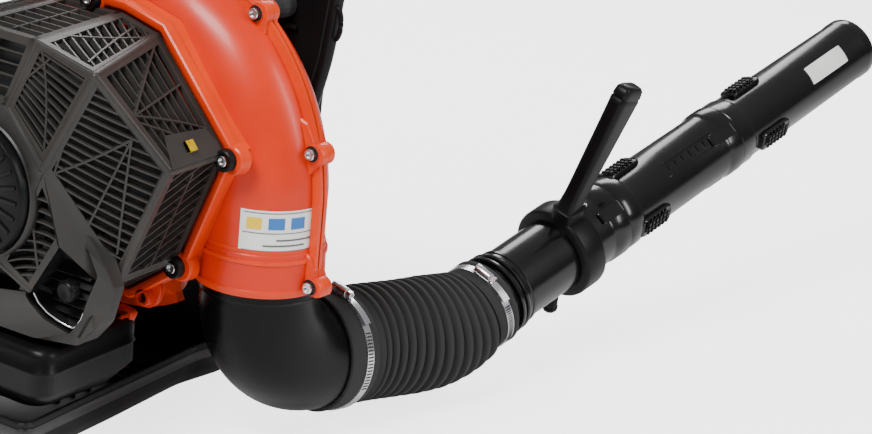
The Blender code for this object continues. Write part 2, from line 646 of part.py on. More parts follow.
def blower_tube():
    """Swivel pipe, middle pipe and nozzle, each a hollow turned body with its bayonet parts."""
    first = [(-34, PIPE1_R), (6, PIPE1_R), (6, 42), (12, 42), (12, PIPE1_R), (JOINT1_AT - 22, PIPE1_R),
             (JOINT1_AT - 20, 42), (JOINT1_AT - GAP, 42), (JOINT1_AT - GAP, PIPE1_BORE), (-34, PIPE1_BORE)]
    piece("swivel_pipe", turned_ring(PIPE_START, PIPE_DIR, first), (BLACK, 0.2), origin=PIPE_START)
    plug = spigot(PIPE1_BORE)
    second = [(JOINT1_AT - 24, plug), (JOINT1_AT, plug), (JOINT1_AT, 41), (JOINT1_AT + 22, 41),
              (JOINT1_AT + 24, PIPE2_R), (JOINT2_AT - 20, PIPE2_R - 1), (JOINT2_AT - 18, 39.5),
              (JOINT2_AT - GAP, 39.5), (JOINT2_AT - GAP, PIPE2_BORE), (JOINT1_AT, PIPE2_BORE),
              (JOINT1_AT - 24, plug - SPIGOT_WALL)]
    tube = turned_ring(PIPE_START, PIPE_DIR, second)
    middle = piece("middle_pipe", tube, (BLACK, 0.2), origin=along_pipe(JOINT1_AT))
    plug = spigot(PIPE2_BORE)
    third = [(JOINT2_AT - 22, plug), (JOINT2_AT, plug), (JOINT2_AT, 38.5), (JOINT2_AT + 20, 38.5),
             (JOINT2_AT + 22, NOZZLE_R + 1), (NOZZLE_END, NOZZLE_R - 1), (NOZZLE_END, NOZZLE_BORE),
             (JOINT2_AT + 24, NOZZLE_BORE + 1.4), (JOINT2_AT, NOZZLE_BORE), (JOINT2_AT - 22, NOZZLE_BORE)]
    tube = turned_ring(PIPE_START, PIPE_DIR, third)
    nozzle = piece("nozzle", tube, (BLACK, 0.2), origin=along_pipe(JOINT2_AT))
    for body, at, radius in ((middle, JOINT1_AT + 18, PIPE2_R), (nozzle, JOINT2_AT + 32, NOZZLE_R + 1)):
        for turn in PAD_TURNS:
            cut(body, bayonet_pad(at, radius, turn), "UNION")


def pipe_vector(degrees):
    """A unit vector square to the pipe, turned from its upper side."""
    turn = math.radians(degrees)
    return PIPE_UP * math.cos(turn) + PIPE_SIDE * math.sin(turn)


def bayonet_pad(at, radius, degrees):
    """A raised rectangular thumb pad on the pipe wall."""
    out = pipe_vector(degrees)
    side = PIPE_DIR.cross(out)
    foot = along_pipe(at) + out * (radius - PAD_ROOT)
    corners = ((0, -11), (PAD_LENGTH, -11), (PAD_LENGTH, 11), (0, 11))
    loop = [foot + PIPE_DIR * a + side * s for a, s in corners]
    return loft([loop, [point + out * (PAD_ROOT + 5) for point in loop]])


HANDLE_AT = 112.0  # along the pipe axis
HANDLE_TURN = 18.0  # degrees from the pipe's upper side
HANDLE_LEAN = 28.0  # degrees forward from square to the pipe
HANDLE_LENGTH = 150.0


def pipe_block(low, high, half_length, half_width, out):
    """A block standing on the pipe along `out`, between two distances from the pipe's axis."""
    side = PIPE_DIR.cross(out)
    corners = ((-1, -1), (1, -1), (1, 1), (-1, 1))
    foot = along_pipe(HANDLE_AT) + out * low
    loop = [foot + PIPE_DIR * a * half_length + side * b * half_width for a, b in corners]
    return loft([loop, [point + out * (high - low) for point in loop]])


def handle_bar(out):
    """The blade-like handle: an eight-sided section that widens towards a rounded cap."""
    base = along_pipe(HANDLE_AT) + out * (60 + GAP)
    lean = math.radians(HANDLE_LEAN)
    rise = out * math.cos(lean) + PIPE_DIR * math.sin(lean)
    fore = PIPE_DIR * math.cos(lean) - out * math.sin(lean)
    side = PIPE_DIR.cross(out)
    section = ((-1, -0.5), (-0.6, -1), (0.6, -1), (1, -0.5), (1, 0.5), (0.6, 1), (-0.6, 1), (-1, 0.5))
    loops = []
    spans = ((8, 12, 10), (40, 12.5, 9), (HANDLE_LENGTH - 14, 15, 9), (HANDLE_LENGTH - 4, 13, 8),
             (HANDLE_LENGTH, 8, 5))
    for at, width, thick in spans:
        loops.append([base + rise * at + fore * a * width + side * b * thick for a, b in section])
    loops.insert(0, [point - out * ((point - base).dot(out)) for point in loops[0]])
    return loft(loops)


def handle():
    """Clamp ring on the swivel pipe with the blade-like handle bar and its lock knob."""
    out = pipe_vector(HANDLE_TURN)
    ring = sleeve(along_pipe(HANDLE_AT - 15), PIPE_DIR, 30, 50, PIPE1_R + GAP)
    bracket = piece("handle_ring", ring, (BLACK, 0.35), origin=along_pipe(HANDLE_AT))
    cut(bracket, pipe_block(44, 60, 15, 13, out), "UNION")
    cut(bracket, pipe_block(46, 60, 10, 9, -out), "UNION")
    piece("handle_bar", handle_bar(out), (BLACK, 0.4), origin=along_pipe(HANDLE_AT), smooth=30)
    low = along_pipe(HANDLE_AT) - out * (60 + GAP)
    knob = lathe(low, -out, [(0, 5), (2, 5), (2, 7.5), (28, 7.5), (31, 6)], 14)
    piece("handle_lock_knob", knob, (BLACK, 0.4), origin=low)
    catch = pipe_vector(HANDLE_TURN - 6)
    peg = along_pipe(HANDLE_AT + 30) + catch * (PIPE1_R + GAP)
    piece("pipe_lock_peg", lathe(peg, catch, [(0, 3.2), (3, 3.2), (4, 2.2)], 10), (STEEL, 0.3, 1.0))


# ---------------------------------------------------------------- fasteners

def fasteners():
    """The socket screws that show at the volute seam and the cover's rim."""
    for name, (x, z) in zip(("seam_screw_lower", "seam_screw_middle", "seam_screw_upper"), seam_bosses()):
        piece(name, lathe((x, -11 - GAP, z), (0, -1, 0), [(0, 5), (4.4, 5), (5, 4.5)], 12), (STEEL, 0.3, 1.0))


def main():
    for obj in list(bpy.data.objects):
        bpy.data.objects.remove(obj, do_unlink=True)
    volute_half("volute_rear", -1)
    volute_half("volute_front", 1)
    rotating_group()
    engine()
    starter()
    engine_cover()
    frame()
    tank()
    harness()
    controls()
    air_duct()
    blower_tube()
    handle()
    fasteners()


main()
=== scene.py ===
"""Finished surfaces, studio and camera for the backpack leaf blower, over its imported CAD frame.

Lengths are metres. The wearer faces +Y, the outlet side is +X and the ground is z = 0.
"""

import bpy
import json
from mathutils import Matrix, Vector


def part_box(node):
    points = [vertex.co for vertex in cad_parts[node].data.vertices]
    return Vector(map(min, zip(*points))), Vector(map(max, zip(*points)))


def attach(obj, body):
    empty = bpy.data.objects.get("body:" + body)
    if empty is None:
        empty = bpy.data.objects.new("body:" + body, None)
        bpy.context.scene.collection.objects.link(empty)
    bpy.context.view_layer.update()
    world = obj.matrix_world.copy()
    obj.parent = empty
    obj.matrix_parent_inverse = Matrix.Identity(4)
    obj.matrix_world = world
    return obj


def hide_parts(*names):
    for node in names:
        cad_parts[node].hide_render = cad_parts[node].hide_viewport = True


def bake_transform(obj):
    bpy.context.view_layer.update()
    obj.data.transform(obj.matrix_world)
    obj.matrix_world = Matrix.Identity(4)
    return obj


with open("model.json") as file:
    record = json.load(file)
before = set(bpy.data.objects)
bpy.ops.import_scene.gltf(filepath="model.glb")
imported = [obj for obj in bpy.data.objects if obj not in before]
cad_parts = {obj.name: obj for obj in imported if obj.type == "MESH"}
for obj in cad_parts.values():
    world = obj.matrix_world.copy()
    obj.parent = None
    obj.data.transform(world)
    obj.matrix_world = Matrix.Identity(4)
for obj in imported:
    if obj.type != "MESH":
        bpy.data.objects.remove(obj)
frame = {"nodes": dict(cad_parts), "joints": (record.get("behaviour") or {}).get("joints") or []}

import json
import logging
import math
from dataclasses import dataclass
from enum import Enum
from typing import Iterable, Iterator, Sequence

import bmesh
import bpy
from mathutils import Matrix, Vector

LOG = logging.getLogger("leaf_blower")
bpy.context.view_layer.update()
MM = 0.001
JOINTS = {joint["name"]: joint for joint in frame["joints"]}


def joint_place(name: str) -> Vector:
    """Where a joint's axis passes, in metres."""
    return Vector(JOINTS[name]["pos_m"])


def joint_axis(name: str) -> Vector:
    """A joint's unit axis."""
    return Vector(JOINTS[name]["axis"]).normalized()


def mm(*values: float) -> Vector:
    """A point given in millimetres."""
    return Vector(values) * MM


# ---------------------------------------------------------------- shader graphs


class Socket:
    """One output in a shader graph, with arithmetic that adds Math nodes."""

    def __init__(self, graph: "Graph", source) -> None:
        self.graph = graph
        self.source = source

    def _math(self, operation: str, other) -> "Socket":
        node = self.graph.tree.nodes.new("ShaderNodeMath")
        node.operation = operation
        for index, value in enumerate((self, other)):
            self.graph.feed(node.inputs[index], value)
        return Socket(self.graph, node.outputs[0])

    def __add__(self, other) -> "Socket":
        return self._math("ADD", other)

    def __sub__(self, other) -> "Socket":
        return self._math("SUBTRACT", other)

    def __mul__(self, other) -> "Socket":
        return self._math("MULTIPLY", other)

    def larger(self, other) -> "Socket":
        """The larger of two values."""
        return self._math("MAXIMUM", other)

    def clamp(self) -> "Socket":
        """The value held between 0 and 1."""
        return self._math("MAXIMUM", 0.0)._math("MINIMUM", 1.0)


class Graph:
    """A material's node tree behind one generic node method."""

    def __init__(self, name: str) -> None:
        self.material = bpy.data.materials.new(name)
        self.material.use_nodes = True
        self.tree = self.material.node_tree
        self.shader = self.tree.nodes["Principled BSDF"]

    def feed(self, target, value) -> None:
        """Links a Socket to an input, or sets a constant on it."""
        if isinstance(value, Socket):
            self.tree.links.new(value.source, target)
        else:
            target.default_value = value

    def node(self, kind: str, output: int | str = 0, settings: dict | None = None, **inputs) -> Socket:
        """Adds a shader node.

        Args:
            kind: The node's type without its ShaderNode prefix.
            output: The output to return.
            settings: Properties to set on the node.
            inputs: Sockets by name, with underscores for spaces.

        Returns:
            The chosen output.
        """
        node = self.tree.nodes.new("ShaderNode" + kind)
        for key, value in (settings or {}).items():
            setattr(node, key, value)
        for key, value in inputs.items():
            self.feed(node.inputs[key.replace("_", " ")], value)
        return Socket(self, node.outputs[output])

    def place(self) -> Socket:
        """Object coordinates."""
        return self.node("TexCoord", "Object")

    def noise(self, scale: float, detail: float = 3.0, vector: Socket | None = None) -> Socket:
        """Noise from 0 to 1 at a scale per metre."""
        where = vector or self.place()
        return self.node("TexNoise", 0, Vector=where, Scale=scale, Detail=detail)

    def stretched(self, scale: Sequence[float]) -> Socket:
        """Object coordinates scaled by axis."""
        return self.node("Mapping", 0, Vector=self.place(), Scale=tuple(scale))

    def between(self, factor: Socket, low: float, high: float) -> Socket:
        """A value between two limits."""
        return factor * (high - low) + low

    def mix(self, factor, first: Sequence[float], second: Sequence[float]) -> Socket:
        """A colour between two colours."""
        node = self.tree.nodes.new("ShaderNodeMix")
        node.data_type = "RGBA"
        for name, value in (("Factor_Float", factor), ("A_Color", first), ("B_Color", second)):
            target = next(item for item in node.inputs if item.identifier == name)
            self.feed(target, value if isinstance(value, Socket) or name == "Factor_Float" else (*value, 1))
        return Socket(self, next(item for item in node.outputs if item.identifier == "Result_Color"))

    def edge(self) -> Socket:
        """1 on convex edges and 0 on flat faces."""
        point = self.node("NewGeometry", "Pointiness")
        return ((point - 0.5) * 12.0).clamp()

    def bump(self, height: Socket, strength: float, distance: float) -> Socket:
        """A bump from a height."""
        return self.node("Bump", 0, Height=height, Strength=strength, Distance=distance)

    def finish(self, **inputs) -> bpy.types.Material:
        """Sets the shader's inputs and returns the material."""
        for key, value in inputs.items():
            self.feed(self.shader.inputs[key.replace("_", " ")], value)
        return self.material


class Surface(Enum):
    """Named kinds of surface."""

    MOULDED = "moulded"
    METAL = "metal"
    FABRIC = "fabric"
    BRUSHED = "brushed"


@dataclass(frozen=True)
class Finish:
    """A procedural finish.

    Args:
        name: The material's name.
        color: Linear base colour.
        rough: Mean roughness.
        kind: What sort of surface it is.
        grain: Bump cells per metre.
        relief: Bump distance in metres.
        coat: Clear coat weight.
        worn: Colour on worn edges.
        shine: Specular level, the same everywhere on the piece.
    """

    name: str
    color: tuple[float, float, float]
    rough: float
    kind: Surface = Surface.MOULDED
    grain: float = 900.0
    relief: float = 0.00006
    coat: float = 0.0
    worn: tuple[float, float, float] | None = None
    shine: float = 0.5

    def build(self) -> bpy.types.Material:
        """The material, made once for each name."""
        known = bpy.data.materials.get(self.name)
        if known:
            return known
        graph = Graph(self.name)
        cloud = graph.noise(18.0, 4.0)
        grit = graph.noise(self.grain, 2.0)
        dark = tuple(value * 0.82 for value in self.color)
        light = tuple(min(1.0, value * 1.12 + 0.001) for value in self.color)
        color = graph.mix(cloud, dark, light)
        if self.worn:
            color = graph.mix(graph.edge() * graph.between(cloud, 0.2, 0.8), color, self.worn)
        rough = graph.between(cloud, self.rough - 0.05, self.rough + 0.07)
        height = grit
        if self.kind is Surface.BRUSHED:
            height = graph.noise(260.0, 3.0, graph.stretched((1.0, 1.0, 18.0)))
            rough = graph.between(height, self.rough - 0.08, self.rough + 0.12)
        if self.kind is Surface.FABRIC:
            warp = graph.node("TexWave", 0, {"bands_direction": "X"}, Vector=graph.place(), Scale=self.grain,
                              Distortion=0.4)
            weft = graph.node("TexWave", 0, {"bands_direction": "Z"}, Vector=graph.place(), Scale=self.grain,
                              Distortion=0.4)
            height = warp.larger(weft)
            color = graph.mix(height * 0.6, dark, light)
        metal = 1.0 if self.kind in (Surface.METAL, Surface.BRUSHED) else 0.0
        normal = graph.bump(height, 0.35, self.relief)
        return graph.finish(Base_Color=color, Roughness=rough, Metallic=metal, Normal=normal, Coat_Weight=self.coat,
                            Coat_Roughness=0.12, Specular_IOR_Level=self.shine)


ORANGE = Finish("moulded_orange", (0.66, 0.022, 0.0), 0.34, grain=500.0, relief=0.00004, coat=0.08,
                worn=(0.85, 0.07, 0.003), shine=0.3)
COVER = Finish("cover_grey", (0.006, 0.0055, 0.0051), 0.4, grain=1300.0, relief=0.00009,
               worn=(0.06, 0.054, 0.049), shine=0.3)
TUBE = Finish("tube_black", (0.0022, 0.0022, 0.0025), 0.2, grain=350.0, relief=0.00003, coat=0.1, shine=0.4)
ELBOW = Finish("elbow_charcoal", (0.0016, 0.0016, 0.002), 0.27, grain=1500.0, relief=0.00005, shine=0.16)
BELLOWS = Finish("bellows_rubber", (0.0012, 0.0012, 0.0014), 0.15, grain=900.0, relief=0.00003, shine=0.6)
BLACK = Finish("moulded_black", (0.0022, 0.0022, 0.0024), 0.36, grain=1200.0, relief=0.00006,
               worn=(0.014, 0.014, 0.015), shine=0.15)
# Dark grey for the pads' stitching thread, also used lighter than the base tray as painted sheen on its chamfer.
THREAD_GREY_AND_SHEEN = Finish("thread_grey_and_painted_sheen", (0.012, 0.012, 0.0125), 0.3, grain=900.0, relief=0.00005)
STEEL = Finish("clamp_steel", (0.68, 0.68, 0.7), 0.24, Surface.BRUSHED, relief=0.00002)
SCREW = Finish("screw_steel", (0.72, 0.72, 0.73), 0.22, Surface.METAL, relief=0.00001)
ALLOY = Finish("cast_alloy", (0.42, 0.42, 0.43), 0.48, Surface.METAL, grain=700.0, relief=0.00012)
HOT_STEEL = Finish("heat_dulled_steel", (0.28, 0.25, 0.22), 0.5, Surface.METAL, grain=400.0, relief=0.00008)
# Painted shade: a flat near-black put into gaps, holes and recesses where shade falls.
PAINTED_SHADE = Finish("painted_shade_black", (0.0015, 0.0015, 0.0015), 0.7)
LABEL = Finish("label_white", (0.86, 0.86, 0.84), 0.32, grain=400.0, relief=0.00001)
LABEL_INK = Finish("label_grey", (0.12, 0.12, 0.12), 0.4)
LABEL_BLUE = Finish("label_blue", (0.02, 0.16, 0.5), 0.35)
YELLOW = Finish("tag_yellow", (0.88, 0.6, 0.004), 0.4)
RED = Finish("switch_red", (0.5, 0.006, 0.006), 0.35)
FABRIC = Finish("harness_weave", (0.009, 0.009, 0.01), 0.85, Surface.FABRIC, grain=420.0, relief=0.00025)
MESH_FABRIC = Finish("pad_mesh", (0.012, 0.012, 0.013), 0.9, Surface.FABRIC, grain=190.0, relief=0.0005)
PIPING = Finish("pad_piping", (0.03, 0.03, 0.032), 0.7, Surface.FABRIC, grain=500.0, relief=0.0001)
BULB = Finish("bulb_clear", (0.62, 0.6, 0.52), 0.2)


# ---------------------------------------------------------------- meshes


Ring = Sequence[Vector]


def skin(loops: Sequence[Ring], closed: bool = False, caps: bool = True, ring: bool = True) -> bmesh.types.BMesh:
    """A surface through equal loops of points.

    Args:
        loops: The loops, in order.
        closed: Whether the last loop joins the first.
        caps: Whether an open run gets end faces.
        ring: Whether each loop is closed on itself.

    Returns:
        The new geometry.
    """
    shape = bmesh.new()
    rows = [[shape.verts.new(Vector(point)) for point in loop] for loop in loops]
    count = len(rows[0])
    pairs = list(zip(rows, rows[1:])) + ([(rows[-1], rows[0])] if closed else [])
    for low, high in pairs:
        for index in range(count if ring else count - 1):
            after = (index + 1) % count
            shape.faces.new((low[index], low[after], high[after], high[index]))
    if caps and not closed and ring:
        shape.faces.new(rows[0])
        shape.faces.new(rows[-1])
    return shape


def axes_of(axis: Vector) -> tuple[Vector, Vector]:
    """The level and the raised unit vectors square to an axis."""
    level = axis.cross(Vector((0, 0, 1)))
    if level.length < 1e-6:
        level = Vector((1, 0, 0))
    level.normalize()
    return level, level.cross(axis).normalized()


def circle(centre: Vector, axis: Vector, radius: float, sides: int) -> list[Vector]:
    """Points of a circle square to an axis."""
    across, up = axes_of(axis)
    turns = (2 * math.pi * step / sides for step in range(sides))
    return [centre + radius * (across * math.cos(turn) + up * math.sin(turn)) for turn in turns]


Profile = Sequence[tuple[float, float]]


def turned(start: Vector, axis: Vector, profile: Profile, sides: int = 48, closed: bool = False):
    """A turned body from (distance, radius) pairs in millimetres."""
    loops = [circle(start + axis * at * MM, axis, radius * MM, sides) for at, radius in profile]
    return skin(loops, closed=closed)


def block(centre: Vector, axes: Sequence[Vector], sizes: Sequence[float]) -> bmesh.types.BMesh:
    """A box from its centre, three unit axes and three lengths in millimetres."""
    half = [axis * size * MM / 2 for axis, size in zip(axes, sizes)]
    corners = ((-1, -1), (1, -1), (1, 1), (-1, 1))
    loops = [[centre + half[0] * a + half[1] * b + half[2] * c for a, b in corners] for c in (-1, 1)]
    return skin(loops)


def joined(shapes: Iterable[bmesh.types.BMesh]) -> bmesh.types.BMesh:
    """Several shapes as one mesh; the inputs are freed."""
    whole = bmesh.new()
    for shape in shapes:
        part = bpy.data.meshes.new("part")
        shape.to_mesh(part)
        shape.free()
        whole.from_mesh(part)
        bpy.data.meshes.remove(part)
    return whole


X, Y, Z = XYZ = (Vector((1, 0, 0)), Vector((0, 1, 0)), Vector((0, 0, 1)))


@dataclass(frozen=True)
class Make:
    """How a shape becomes a piece.

    Args:
        finish: Its material.
        body: The CAD body it rides on.
        bevel: Edge rounding in millimetres, or 0.
        smooth: The angle in degrees under which edges are shaded smooth.
        segments: Bevel segments.
        slot: The record's material slot; not used.
    """

    finish: Finish
    body: str = "machine"
    bevel: float = 0.0
    smooth: float = 35.0
    segments: int = 2
    slot: str = "black_plastic"

    def __call__(self, name: str, shape: bmesh.types.BMesh, *nodes: str) -> bpy.types.Object:
        """Turns a shape into a finished piece.

        Args:
            name: The piece's name.
            shape: Its geometry, which is freed.
            nodes: CAD nodes that it replaces.

        Returns:
            The new object.
        """
        obj = self.shaped(name, shape)
        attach(obj, self.body)
        return self.booked(obj, *nodes)

    def shaped(self, name: str, shape: bmesh.types.BMesh) -> bpy.types.Object:
        """The finished mesh as an object, before it has a body; the shape is freed."""
        bmesh.ops.recalc_face_normals(shape, faces=shape.faces)
        if self.bevel:
            edges = [edge for edge in shape.edges if edge.is_manifold and edge.calc_face_angle(0) > 0.5]
            bmesh.ops.bevel(shape, geom=edges, offset=self.bevel * MM, segments=self.segments, profile=0.6,
                            affect="EDGES", clamp_overlap=True)
        mesh = bpy.data.meshes.new(name)
        shape.to_mesh(mesh)
        shape.free()
        obj = bpy.data.objects.new(name, mesh)
        bpy.context.scene.collection.objects.link(obj)
        mesh.materials.append(self.finish.build())
        mesh.shade_smooth()
        mesh.set_sharp_from_angle(angle=math.radians(self.smooth))
        return obj

    def booked(self, obj: bpy.types.Object, *nodes: str) -> bpy.types.Object:
        """Hides the CAD nodes that the piece stands for."""
        if nodes:
            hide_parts(*nodes)
        return obj


class Row:
    """Geometry Nodes that repeat one small shape along a line."""

    def __init__(self, make: Make) -> None:
        self.make = make
        tree = bpy.data.node_groups.new("row", "GeometryNodeTree")
        inputs = (("Geometry", "NodeSocketGeometry"), ("Count", "NodeSocketInt"), ("Step", "NodeSocketVector"),
                  ("Finish", "NodeSocketMaterial"))
        for name, kind in inputs:
            tree.interface.new_socket(name, in_out="INPUT", socket_type=kind)
        tree.interface.new_socket("Geometry", in_out="OUTPUT", socket_type="NodeSocketGeometry")
        ends = [tree.nodes.new(kind) for kind in ("NodeGroupInput", "NodeGroupOutput")]
        names = ("GeometryNodeMeshLine", "GeometryNodeInstanceOnPoints", "GeometryNodeRealizeInstances",
                 "GeometryNodeSetMaterial")
        line, place, real, paint = (tree.nodes.new(name) for name in names)
        line.mode = "OFFSET"
        links = ((ends[0].outputs["Count"], line.inputs["Count"]), (ends[0].outputs["Step"], line.inputs["Offset"]),
                 (line.outputs[0], place.inputs["Points"]), (ends[0].outputs["Geometry"], place.inputs["Instance"]),
                 (place.outputs[0], real.inputs[0]), (real.outputs[0], paint.inputs["Geometry"]),
                 (ends[0].outputs["Finish"], paint.inputs["Material"]), (paint.outputs[0], ends[1].inputs[0]))
        for source, target in links:
            tree.links.new(source, target)
        self.tree = tree

    def __call__(self, name: str, shape: bmesh.types.BMesh, count: int, step: Vector) -> bpy.types.Object:
        """Repeats a shape, whose first copy is where it is, `count` times at `step`."""
        seed = bpy.data.objects.new(name + "_seed", bpy.data.meshes.new(name + "_seed"))
        bmesh.ops.recalc_face_normals(shape, faces=shape.faces)
        shape.to_mesh(seed.data)
        shape.free()
        bpy.context.scene.collection.objects.link(seed)
        modifier = seed.modifiers.new("row", "NODES")
        modifier.node_group = self.tree
        values = {"Count": count, "Step": tuple(step), "Finish": self.make.finish.build()}
        for item in self.tree.interface.items_tree:
            if item.in_out == "INPUT" and item.name in values:
                modifier[item.identifier] = values[item.name]
        seen = seed.evaluated_get(bpy.context.evaluated_depsgraph_get())
        mesh = bpy.data.meshes.new_from_object(seen)
        bpy.data.objects.remove(seed)
        shape = bmesh.new()
        shape.from_mesh(mesh)
        bpy.data.meshes.remove(mesh)
        return self.make(name, shape)


# ---------------------------------------------------------------- volute


AXIS = joint_place("rotor_spin")


@dataclass(frozen=True)
class Volute:
    """The scroll-shaped fan housing, in millimetres and degrees."""

    outer: float = 216.0
    outer_end: float = 150.0
    tube: float = 58.0
    tube_end: float = 22.0
    sweep: float = 295.0
    outlet_z: float = 171.0
    chamber: float = 118.0
    half_depth: float = 52.0
    seam_reach: float = 9.0
    make: Make = Make(ORANGE, slot="orange")

    def reach_at(self, degrees: float) -> float:
        """How far the scroll's outer wall is from the fan axis."""
        return self.outer + (self.outer_end - self.outer) * degrees / self.sweep

    def station(self, degrees: float) -> tuple[Vector, Vector, float]:
        """Centre, tangent and section radius at an angle from the outlet side."""
        share = degrees / self.sweep
        tube = self.tube + (self.tube_end - self.tube) * share
        turn = math.radians(degrees)
        reach = self.reach_at(degrees) - tube
        centre = AXIS + mm(reach * math.cos(turn), 0, reach * math.sin(turn))
        return centre, Vector((-math.sin(turn), 0, math.cos(turn))), tube

    def rim_points(self, reach: float, steps: int = 90) -> list[Vector]:
        """The seam line, `reach` millimetres outside the scroll, from the outlet to the tongue."""
        side = self.outer + reach
        points = [Vector((side * MM, 0, (self.outlet_z + lift) * MM)) for lift in (22, 45, 70)]
        for step in range(steps + 1):
            degrees = self.sweep * step / steps
            outer = self.reach_at(degrees) + reach
            turn = math.radians(degrees)
            points.append(AXIS + mm(outer * math.cos(turn), 0, outer * math.sin(turn)))
        return points

    def scroll_half(self, sign: int, sides: int = 30, steps: int = 96) -> bmesh.types.BMesh:
        """The outer surface of one half of the scroll and the outlet tube below it."""
        stations = [(mm(self.outer - self.tube, 0, self.outlet_z), Z, self.tube)]
        stations += [self.station(self.sweep * step / steps) for step in range(steps + 1)]
        loops = []
        for centre, tangent, tube in stations:
            across = Y.cross(tangent)
            turns = [math.pi * side / sides for side in range(sides + 1)]
            loops.append([centre + tube * MM * (across * math.cos(t) + Y * sign * math.sin(t)) for t in turns])
        centre, tangent, tube = self.station(self.sweep)
        loops.append([centre + tangent * tube * 0.6 * MM] * (sides + 1))
        return skin(loops, ring=False)

    def band(self, inner: float, outer: float, y0: float, y1: float) -> bmesh.types.BMesh:
        """A flat rib that follows the seam between two reaches and two depths."""
        low, high = self.rim_points(inner), self.rim_points(outer)
        loops = []
        for a, b in zip(low, high):
            loops.append([a + Y * y0 * MM, b + Y * y0 * MM, b + Y * y1 * MM, a + Y * y1 * MM])
        return skin(loops)

    def chamber_shell(self, sign: int) -> bmesh.types.BMesh:
        """The fan chamber's side of one half: a rounded drum with its hub hole or intake mouth."""
        hole = 30 if sign < 0 else 78
        depth = self.half_depth
        profile = [(0, self.chamber), (depth - 7, self.chamber), (depth - 3, self.chamber - 1.5),
                   (depth, self.chamber - 6), (depth, hole + 6), (depth + 3, hole + 3), (depth + 3, hole),
                   (depth - 3, hole), (depth - 3, self.chamber - 9), (0, self.chamber - 3)]
        return turned(AXIS, Y * sign, profile, 96, closed=True)

    def bosses(self) -> list[Vector]:
        """Seam screw places, the lowest one first."""
        places = [mm(self.outer + 8.5, 0, self.outlet_z + 9)]
        for degrees in (11.4, 48.6, 95, 140, 200, 260):
            outer = self.reach_at(degrees) + 6
            turn = math.radians(degrees)
            places.append(AXIS + mm(outer * math.cos(turn), 0, outer * math.sin(turn)))
        return places

    def boss(self, place: Vector, sign: int) -> bmesh.types.BMesh:
        """Half of a screw boss: a three-sided gusset plate with a raised ring at its tip."""
        out = (place - AXIS).normalized() if place.z > 0.2 else X
        along = Y.cross(out)
        outline = [along * 24 - out * 16, along * 20 - out * 6]
        outline += [along * 2 + along * math.cos(turn) * 10.6 + out * math.sin(turn) * 10.6 + out * 1.5
                    for turn in (math.radians(5 + 17 * step) for step in range(11))]
        outline += [along * -28 - out * 4, along * -34 - out * 14]
        loops = []
        for depth, scale in ((0.2, 1.0), (8.2, 1.0), (9.4, 0.93)):
            loop = [place + point * scale * MM + Y * sign * depth * MM for point in outline]
            for point in loop:
                point.z = max(point.z, (self.outlet_z + 0.5) * MM)
            loops.append(loop)
        collar = [(9.0, 7.8), (10.4, 7.6), (10.8, 7.0), (10.8, 5.6), (8, 5.4)]
        return joined((skin(loops), turned(place, Y * sign, collar, 36)))

    def collar(self) -> bmesh.types.BMesh:
        """The stepped outlet collar."""
        profile = [(-1, 57), (-1, 61.4), (0.4, 62.2), (5, 62.2), (6.2, 60.9), (30, 60.3), (31, 61.6), (34, 61.6),
                   (35, 59.8), (39, 59.8), (40, 58.9), (44, 58.6), (45, 57.4)]
        return turned(mm(self.outer - self.tube, 0, self.outlet_z), Z, profile, 96, closed=True)

    def build(self) -> None:
        """Makes both halves, their seam, the engine plate and the outlet label."""
        for sign, node in ((-1, "volute_rear"), (1, "volute_front")):
            parts = [self.scroll_half(sign), self.chamber_shell(sign)]
            lip = sorted((sign * 1.1, sign * 5.0))
            parts.append(self.band(-6, self.seam_reach, *lip))
            parts.append(self.band(-6, 4.5, *sorted((0.0, sign * 1.3))))
            parts += [self.boss(place, sign) for place in self.bosses()]
            if sign < 0:
                parts += self.engine_plate()
            self.make(node + "_shell", joined(parts), node)
        self.make("outlet_collar", self.collar())
        self.ribs()
        self.label()

    def engine_plate(self) -> list[bmesh.types.BMesh]:
        """The plate that carries the engine and the raised band round its guard."""
        wide, inner, ledge = (ring_of(COVER_RIM, amount) for amount in (12, 3.5, 6.5))
        plate = skin([[Vector((x, y, z)) * MM for x, z in wide] for y in (-62, -49)])
        steps = ((wide, -61), (wide, -72.5), (ring_of(COVER_RIM, 10.5), -74), (ledge, -74), (inner, -72.5),
                 (inner, -61))
        band = skin([[Vector((x, y, z)) * MM for x, z in outline] for outline, y in steps], closed=True)
        return [plate, band]

    def ribs(self) -> None:
        """Cooling webs between the collar and the engine plate."""
        row = Row(Make(ORANGE, slot="orange"))
        start = mm(112, -54, self.outlet_z + 4)
        row("collar_webs", block(start, (Vector((0.8, 0.6, 0)), Vector((-0.6, 0.8, 0)), Z), (40, 16, 2.2)), 5,
            mm(0, 0, 8))

    def label(self) -> None:
        """A blank information plate wrapped round the outlet tube."""
        base = mm(self.outer - self.tube, 0, 0)
        spots = ((LABEL, 0.4, 213, 254, -74, 6), (LABEL_INK, 0.7, 215, 215.8, -71, 3),
                 (LABEL_INK, 0.7, 251.2, 252, -71, 3), (LABEL_INK, 0.7, 232, 232.8, -71, 3),
                 (LABEL_INK, 0.7, 225, 226.6, -40, -4), (LABEL_INK, 0.7, 219.6, 221.2, -52, -12),
                 (YELLOW, 0.7, 236, 247, -68, -54), (LABEL_BLUE, 0.7, 236, 247, -48, -33),
                 (LABEL_BLUE, 0.7, 236, 247, -27, -13))
        for index, (finish, lift, low, high, start, stop) in enumerate(spots):
            loops = []
            for z in (low, high):
                turns = [math.radians(start + (stop - start) * step / 24) for step in range(25)]
                reach = self.tube + lift
                loops.append([base + mm(math.cos(t) * reach, math.sin(t) * reach, z) for t in turns])
            Make(finish, slot="orange")(f"outlet_label_{index}", skin(loops, ring=False))


def ring_of(half: Sequence[tuple[float, float]], grow: float) -> list[tuple[float, float]]:
    """A mirrored (x, z) outline in millimetres, grown outwards from the fan axis."""
    points = []
    height = AXIS.z / MM
    for x, z in list(half) + [(-x, z) for x, z in reversed(half)]:
        reach = math.hypot(x, z - height)
        points.append((x * (1 + grow / reach), height + (z - height) * (1 + grow / reach)))
    return points


# ---------------------------------------------------------------- engine guard


